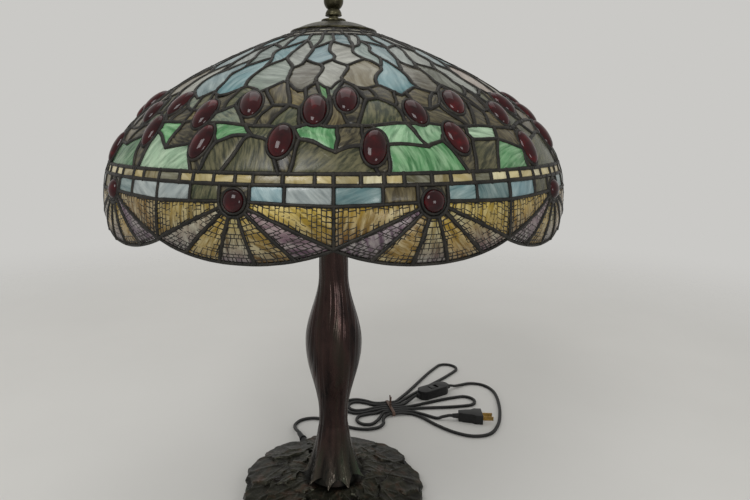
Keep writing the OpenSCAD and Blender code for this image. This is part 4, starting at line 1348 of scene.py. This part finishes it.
def foot_swell(up):
    return FOOT_SWELL * sin(pi * min(1.0, up / FOOT_PATINA_H) ** 1.3)


def patina(tone, share):
    """A tone that turns greener with the share of patina on it."""
    return tuple(v * lerp(1, green, share) for v, green in zip(tone, FOOT_PATINA))


def make_stem():
    height = STEM_TOP - BASE_H
    turns = all_round(STEM_SIDES)
    besides = [foot_leaf(a) for a in turns]
    lows = [NOTCH_H * (1 - (1 - b) ** 2) ** 0.8 + 0.4 for b in besides]
    rings = []
    tones = []
    for i in range(STEM_ROWS + 1):
        points = []
        for a, beside, low in zip(turns, besides, lows):
            up = lerp(low, height, i / STEM_ROWS)
            quiet = min(1.0, (height - up) / 14) * lerp(1, 0.5, ease(1 - up / FOOT_LEAF_H))
            rise = reed(a, up) * quiet + foot_rise(up, beside)
            r = stem_radius(up) + foot_swell(up) + rise
            points.append(polar(r, a, BASE_H + up))
            tone = wear(STEM_TONE + STEM_WEAR * rise, *STEM_TONES)
            tones.append(patina(tone, ease(1 - up / FOOT_PATINA_H)))
        rings.append(points)
    inner = [p - polar(SKIRT_T, a, -SKIRT_RISE) for a, p in zip(turns, rings[0])]
    ceiling_z = BASE_H + SKIRT_H_IN
    hollow = [(BORE_R, STEM_TOP), (BORE_R, ceiling_z), (stem_radius(SKIRT_H_IN) - SKIRT_T, ceiling_z)]
    close = [circle(r, z, STEM_SIDES) for r, z in hollow] + [inner]
    rings += close + [rings[0]]
    # The hollow under the foot gets the painted shade tone
    tones += [grey(SKIRT_SHADE_TONE)] * ((len(close) + 1) * STEM_SIDES)
    shape = Shape()
    shape.loft(rings, tint=tones)
    build("reed_stem", shape, BRONZE, "root", "dark_bronze", ["stem"], 60)


# Cap and finial
def arc(middle_r, middle_z, radius, start, end, steps):
    turns = [radians(lerp(start, end, k / steps)) for k in range(steps + 1)]
    return [(middle_r + radius * cos(t), middle_z + radius * sin(t)) for t in turns]


CAP_OVERHANG = 1.8
CAP_RIM_R = 1.5
CAP_RIM_Z = CROWN_Z + 2.1
CAP_POWER = 1.63
CAP_STEPS = 14
CAP_SIDES = 120
CAP_BORE_R = 4.6
KNOB_BEAD_R = 1.6
FINIAL_SIDES = 72


def make_cap():
    """A low cap with a rolled rim that lies over the crown, and a turned knob."""
    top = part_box("vase_cap")[1].z / MM
    neck = top - KNOB_H
    edge = APERTURE_R + CAP_OVERHANG - CAP_RIM_R
    profile = [(6, CROWN_Z - 1.5), (44, CROWN_Z - 1.5), (45.5, CAP_RIM_Z - CAP_RIM_R)]
    profile += arc(edge, CAP_RIM_Z, CAP_RIM_R, -90, 70, 8)
    for k in range(1, CAP_STEPS + 1):
        t = 1 - k / CAP_STEPS
        profile.append((lerp(KNOB_R, edge, t), lerp(neck, CAP_RIM_Z, t**CAP_POWER) + 0.8 * t))
    profile += [(KNOB_R + 0.3, neck - 0.7), (KNOB_R - 0.7, neck + 0.2)]
    profile += arc(KNOB_R - KNOB_BEAD_R, top - KNOB_H / 2, KNOB_BEAD_R, -60, 90, 8)
    profile += [(KNOB_R * 0.6, top - 0.6), (KNOB_R / 2, top), (CAP_BORE_R, top), (CAP_BORE_R, CROWN_Z)]
    shape = Shape()
    shape.loft([circle(r, z, CAP_SIDES) for r, z in profile + profile[:1]])
    build("crown_cap", shape, ANTIQUE, "shade", "antique_bronze", ["vase_cap"], 40)


def make_finial():
    """A turned finial: a neck, a bell, a ball and a small tip."""
    low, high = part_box("finial")
    z = low.z / MM
    ball_r = high.x / MM
    profile = [(4.1, 15), (4.1, 0), (5.3, 0), (5.3, 2.4), (7.4, 2.9)]
    profile += arc(ball_r - 2.6, 3.9, 1.0, -80, 60, 6)
    profile += [(9.0, 5.8), (8.5, 7.2), (7.6, 8.8), (6.7, 10.0), (6.4, 10.8)]
    profile += arc(0, 19, ball_r, -48, 70, 20)
    profile += [(3.4, 30), (3.5, 31), (2.3, 31.8), (2.1, 32.6)]
    profile += arc(0, high.z / MM - z - 2.9, 2.9, -42, 89, 10)
    shape = Shape()
    shape.loft([circle(r, z + up, FINIAL_SIDES) for r, up in profile], start_cap=True, end_cap=True)
    build("turned_finial", shape, ANTIQUE, "finial", "antique_bronze", ["finial"], 40)


# Bulbs: blown glass, on the lines that they turn about
BULB_R = 30
BULB_NECK_R = 13.8
BULB_START = 62.3
BULB_MOUTH = 82
BULB_ROUND = 116.3
BULB_SIDES = 64
BULB_STEPS = 20


def bulb_line():
    line = [(BULB_NECK_R - 1.8, BULB_START), (BULB_NECK_R, BULB_START + 2)]
    for k in range(BULB_STEPS + 1):
        t = k / BULB_STEPS
        line.append((lerp(BULB_NECK_R, BULB_R, ease(t)), lerp(BULB_MOUTH, BULB_ROUND, t)))
    return line + arc(0, BULB_ROUND, BULB_R, 5, 88, BULB_STEPS)


def make_bulbs():
    for joint in frame["joints"]:
        bulb = joint["child"]
        if not bulb.startswith("bulb"):
            continue
        start = Vector(joint["pos_m"]) / MM
        turn = Vector(joint["axis"]).to_track_quat("Z", "Y")
        shape = Shape()
        rings = [[start + turn @ p for p in circle(r, z, BULB_SIDES)] for r, z in bulb_line()]
        shape.loft(rings, start_cap=True, end_cap=True)
        build(f"{bulb}_globe", shape, BULB_WHITE, bulb, "bulb_glass", [f"{bulb}_glass"], 60)


make_upper_shade()
make_jewel_courses()
make_border()
make_rim_wire()
make_base()
make_stem()
make_cap()
make_finial()
make_bulbs()


# Lead: the points of its route on the table
CORD_D = 5.2
CORD_R = CORD_D / 2
LIE_Z = 2.65
TIE_Z = 3.9
STRAND_PITCH = 6.8
TIE_PLACE = Vector((97, 223))
TIE_ANGLE = 10
TIE_HALF = 14
EXIT_ANGLE = 112
EXIT_REACH = 142
EXIT_H = 8.6
SWITCH_PLACE = Vector((179.5, 280.5))
SWITCH_ANGLE = 31
SWITCH_L = 64
SWITCH_COLLAR = 5
PLUG_PLACE = Vector((206, 188))
PLUG_ANGLE = -4
PLUG_COLLAR = 10
MID_H = 8
RAMP_Z = 4.2
DROP = (-60, 150, 5.6)
LEAD_TO_TIE = [
    (-62, 168), (-52, 184), (-32, 190), (-10, 183), (10, 170), (31, 158), (54, 154), (72, 160), (81, 172),
    (82, 184), (85, 194),
]
LEAD_TO_SWITCH = [
    (132, 204), (148, 191), (166, 168), (190, 145), (218, 133), (246, 140), (266, 168),
    (280, 207), (289, 250), (291, 288), (280, 314), (257, 323),
]
SWITCH_TO_TIE = (124, 242)
TAIL_TO_PLUG = [(131, 213), (149, 204)]
SWITCH_RAMP = 24
PLUG_RAMP = 20.8
CURVE_STEPS = 6
CORD_SIDES = 16
GROOVE_START = 0.75
GROOVE_DEPTH = 1.2


def turned(angle, reach):
    return polar(reach, radians(angle)).to_2d()


def raised(p, z):
    return Vector((p[0], p[1], z))


def exit_point(extra):
    return raised(turned(EXIT_ANGLE, EXIT_REACH + extra), EXIT_H)


def switch_point(x):
    return raised(SWITCH_PLACE + turned(SWITCH_ANGLE, x), MID_H)


def plug_point(x):
    return raised(PLUG_PLACE + turned(PLUG_ANGLE, x), MID_H)


def strand_v(i):
    return (4 - i) * STRAND_PITCH


def tie_point(x, v, z):
    return raised(TIE_PLACE + turned(TIE_ANGLE, x) + turned(TIE_ANGLE + 90, v), z)


def strand(i, start):
    return [tie_point(x * TIE_HALF, strand_v(i), TIE_Z) for x in (start, 0, -start)]


def on_table(points):
    return [raised(p, LIE_Z) for p in points]


def loop_outline(long, wide, v0):
    n = max(3, round((long - wide) / 20))
    side = [((long - wide) * k / n, v0 + (wide - v0) * ease(k / n)) for k in range(1, n)]
    turns = [radians(t) for t in range(90, -91, -30)]
    tip = [(long - wide + wide * cos(t), wide * sin(t)) for t in turns]
    return side + tip + [(x, -y) for x, y in reversed(side)]


def loop(first, last, end, angle, long, wide):
    """A loop of the lead from one strand to another, drawn in at the tie and round at its tip."""
    high = max(strand_v(first), strand_v(last))
    low = min(strand_v(first), strand_v(last))
    line = loop_outline(long, wide, (high - low) / 2)
    if strand_v(first) < strand_v(last):
        line.reverse()
    c = cos(radians(angle))
    s = sin(radians(angle))
    return [
        tie_point(end * (TIE_HALF + x * c - y * s), (high + low) / 2 + x * s + y * c, LIE_Z) for x, y in line
    ]


def smooth(points):
    """A smooth curve through the points."""
    curve = []
    for i in range(len(points) - 1):
        b = points[i]
        c = points[i + 1]
        a = points[i - 1] if i > 0 else 2 * b - c
        d = points[i + 2] if i < len(points) - 2 else 2 * c - b
        square = a - 2.5 * b + 2 * c - d / 2
        cube = 1.5 * b - a / 2 - 1.5 * c + d / 2
        for t in (k / CURVE_STEPS for k in range(CURVE_STEPS)):
            curve.append(b + t * (c - a) / 2 + t * t * square + t**3 * cube)
    return curve + [points[-1]]


def lead_route():
    end = SWITCH_L / 2 + SWITCH_COLLAR
    route = [exit_point(0), exit_point(CORD_D), Vector(DROP)]
    route += on_table(LEAD_TO_TIE)
    route += [tie_point(x * TIE_HALF, strand_v(7), TIE_Z) for x in (-0.5, 0, 1)]
    route += on_table(LEAD_TO_SWITCH)
    ramp = raised(switch_point(SWITCH_L / 2 + SWITCH_RAMP), RAMP_Z)
    return route + [ramp, switch_point(end + CORD_D), switch_point(end)]


def hank_route():
    end = SWITCH_L / 2 + SWITCH_COLLAR
    route = [switch_point(-end), switch_point(-end - CORD_D), raised(SWITCH_TO_TIE, LIE_Z)]
    route += strand(3, 1) + loop(3, 2, -1, 12, 56, 16) + strand(2, -1) + loop(2, 1, 1, 42, 210, 19)
    route += strand(1, 1) + loop(1, 4, -1, 12, 66, 25) + strand(4, -1) + loop(4, 5, 1, 4, 140, 17)
    route += strand(5, 1) + loop(5, 6, -1, -30, 56, 16) + strand(6, -1)
    route += on_table(TAIL_TO_PLUG)
    start = -PLUG_COLLAR - CORD_D
    halfway = raised(plug_point(start - PLUG_RAMP / 2), (LIE_Z + MID_H) / 2)
    route += on_table([plug_point(start - PLUG_RAMP)])
    return route + [halfway, plug_point(start), plug_point(-PLUG_COLLAR)]


def cord_section():
    """A round twin flex: a shallow groove along its top and its underside."""
    section = []
    for t in all_round(CORD_SIDES):
        groove = max(0.0, abs(sin(t)) - GROOVE_START) * GROOVE_DEPTH
        section.append((CORD_R * (1 - groove / 2) * cos(t), CORD_R * (1 - groove) * sin(t)))
    return section


def tube(shape, path, section, over=(0, 0, 1)):
    """Skin a section along a path. Its upper side faces over."""
    rings = []
    for i, p in enumerate(path):
        along = (path[min(i + 1, len(path) - 1)] - path[max(i - 1, 0)]).normalized()
        side = Vector(over).cross(along).normalized()
        up = along.cross(side)
        rings.append([p + side * x + up * y for x, y in section])
    shape.loft(rings, start_cap=True, end_cap=True)


def make_cord():
    path = smooth(lead_route()) + smooth(hank_route())
    shape = Shape()
    tube(shape, path, cord_section())
    cord = build("mains_lead", shape, CORD_BLACK, "root", "black_cord", ["cord_lead", "cord_hank"], 50)
    return cord, path


# Tie, switch and plug
BAND_HALF = 3 * STRAND_PITCH
BAND_R = CORD_R + 0.8
BAND_SECTION = [
    (-2.2, -0.3), (2.2, -0.3), (2.5, 0), (2.2, 0.35), (0.5, 0.5), (-0.5, 0.5), (-2.2, 0.35), (-2.5, 0),
]
TAIL_SECTION = [(0.75 * cos(t), 1.125 * sin(t)) for t in all_round(8)]
TAIL_L = 18.5
TAIL_PART = 0.45
TAIL_STEPS = 30
TAIL_LEANS = [(0, 5.45), (pi, -4.39)]
TWIST_R = 1.1
HARD_EDGE = radians(32)


def tie_tail(start, lean):
    """One end of the tie: twisted round the other for half its length, then leaning away from it."""
    path = []
    for t in (k / TAIL_STEPS for k in range(TAIL_STEPS + 1)):
        turn = start + min(t, 0.5) * 4 * pi
        spread = TWIST_R * (1 - 0.2 * t)
        v = spread * cos(turn) + lean * max(0.0, t - TAIL_PART)
        path.append(tie_point(spread * sin(turn), v, TIE_Z + BAND_R + TAIL_L * t))
    return path


def make_tie():
    """A paper-covered wire: a flat band round the strands, and two ends twisted together."""
    outline = arc(BAND_HALF, 0, BAND_R, -90, 90, 12) + arc(-BAND_HALF, 0, BAND_R, 90, 270, 12)
    rings = []
    for i, (v, z) in enumerate(outline):
        before = Vector(outline[i - 1])
        after = Vector(outline[(i + 1) % len(outline)])
        out = Vector((after.y - before.y, before.x - after.x)).normalized()
        rings.append([tie_point(x, v + out.x * y, TIE_Z + z + out.y * y) for x, y in BAND_SECTION])
    shape = Shape()
    shape.loft(rings + rings[:1])
    for start, lean in TAIL_LEANS:
        tube(shape, tie_tail(start, lean), TAIL_SECTION, (1, 0, 0))
    return build("twist_band", shape, TIE_BROWN, "root", "tie", ["twist_tie"], 60)


def rounded_copy(name, node, body, width):
    """A moulded piece with the outline of its solid and softened edges."""
    bm = bmesh.new()
    bm.from_mesh(frame["nodes"][node].data)
    bmesh.ops.remove_doubles(bm, verts=bm.verts, dist=1e-6)
    bmesh.ops.dissolve_limit(bm, angle_limit=radians(1), verts=bm.verts, edges=bm.edges)
    hard = [e for e in bm.edges if len(e.link_faces) == 2 and e.calc_face_angle() > HARD_EDGE]
    bmesh.ops.bevel(
        bm, geom=hard, offset=width * MM, segments=3, profile=0.5, affect="EDGES", clamp_overlap=True
    )
    mesh = bpy.data.meshes.new(name)
    bm.to_mesh(mesh)
    bm.free()
    return place(name, mesh, PLASTIC, body, "black_plastic", [node], 40)


def make_cord_pieces():
    pieces = [
        rounded_copy("switch_lower_shell", "switch_base", "root", 0.8),
        rounded_copy("switch_upper_shell", "switch_cover", "root", 0.9),
        rounded_copy("rocker_key", "switch_rocker", "rocker", 0.4),
        rounded_copy("moulded_plug", "plug_body", "root", 1.6),
        make_tie(),
    ]
    return pieces + [frame["nodes"][n] for n in ("switch_pin", "switch_screws", "plug_blades")]


cord, cord_path = make_cord()
cord_pieces = make_cord_pieces()


# Finish of the pieces whose solid is right as it is
FINISHES = [
    (FELT, "felt_pad"),
    (CORD_BLACK, "inner_cord"),
    (PLASTIC, "cord_sleeve"),
    (STEEL, "bottom_cover base_washer switch_pin switch_screws bulb_1_base bulb_2_base bulb_3_base"),
    (ANTIQUE, "stem_collar cluster_body aperture_ring socket_1_shell socket_2_shell socket_3_shell"),
    (BRASS, "base_nut threaded_pipe collar_nut riser_rod riser_nut shade_seat spider plug_blades"),
    (BRASS, "socket_contacts socket_1_liner socket_2_liner socket_3_liner"),
]
for mat, nodes in FINISHES:
    for node in nodes.split():
        mesh = frame["nodes"][node].data
        mesh.materials.clear()
        mesh.materials.append(mat)


# Stage: a pale floor that fades into an even backdrop, soft lights and the camera
BACKDROP = srgb(202, 201, 198)
FLOOR_LOW = srgb(212, 211, 208)
FLOOR_HIGH = srgb(216, 215, 212)
FLOOR_R = 2.2
FLOOR_SIDES = 96
FADE_START = 0.75
FADE_END = 2.0
CAMERA_PLACE = (0, -0.6906, 0.4741)
CAMERA_TILT = radians(78)
CAMERA_LENS = 27.84
CAMERA_SENSOR = 36
CAMERA_SHIFT = 0.0553
LIGHTS = [
    ("key", (-0.7, -1.5, 1.7), (0, 0, 0.35), 0.8, 15),
    ("fill", (0.75, -1.6, 0.5), (0, 0, 0.25), 0.45, 4),
    ("top", (0, 0.5, 2.0), (0, 0, 0.4), 1.2, 4),
]


def floor_material():
    stuff = Stuff("pale_floor")
    grain = stuff.noise(stuff.place(), 3)
    mat = stuff.finish({
        "Base Color": stuff.ramp(grain, (0.3, FLOOR_LOW), (0.7, FLOOR_HIGH)),
        "Roughness": 0.8,
        "Specular IOR Level": 0.2,
    })
    reach = stuff.nodes.new("ShaderNodeVectorMath")
    reach.operation = "LENGTH"
    stuff.feed(reach.inputs[0], stuff.place())
    fade = stuff.nodes.new("ShaderNodeMapRange")
    fade.interpolation_type = "SMOOTHSTEP"
    stuff.feed(fade.inputs["From Min"], FADE_START)
    stuff.feed(fade.inputs["From Max"], FADE_END)
    stuff.feed(fade.inputs["Value"], reach.outputs["Value"])
    mix = stuff.nodes.new("ShaderNodeMixShader")
    stuff.feed(mix.inputs["Fac"], fade.outputs["Result"])
    stuff.feed(mix.inputs[1], stuff.nodes["Principled BSDF"].outputs["BSDF"])
    stuff.feed(mix.inputs[2], stuff.node("ShaderNodeBsdfTransparent", "BSDF", {}))
    stuff.feed(stuff.nodes["Material Output"].inputs["Surface"], mix.outputs["Shader"])
    return mat


def make_floor():
    mesh = bpy.data.meshes.new("floor")
    mesh.from_pydata(circle(FLOOR_R, 0, FLOOR_SIDES), [], [tuple(range(FLOOR_SIDES))])
    mesh.materials.append(floor_material())
    add_object("floor", mesh)


def make_world():
    world = bpy.data.worlds.new("studio")
    bpy.context.scene.world = world
    world.use_nodes = True
    world.node_tree.nodes["Background"].inputs["Color"].default_value = BACKDROP


def add_light(name, stand, target, size, energy):
    lamp = bpy.data.lights.new(name, "AREA")
    lamp.size = size
    lamp.energy = energy
    obj = add_object(name, lamp)
    obj.location = stand
    obj.rotation_euler = (Vector(target) - Vector(stand)).to_track_quat("-Z", "Y").to_euler()


def make_camera():
    data = bpy.data.cameras.new("camera")
    data.lens = CAMERA_LENS
    data.sensor_width = CAMERA_SENSOR
    data.shift_x = CAMERA_SHIFT
    camera = add_object("camera", data)
    camera.location = CAMERA_PLACE
    camera.rotation_euler = (CAMERA_TILT, 0, 0)
    bpy.context.scene.camera = camera


make_floor()
make_world()
make_camera()
for light in LIGHTS:
    add_light(*light)
bpy.context.scene.view_settings.view_transform = "Standard"
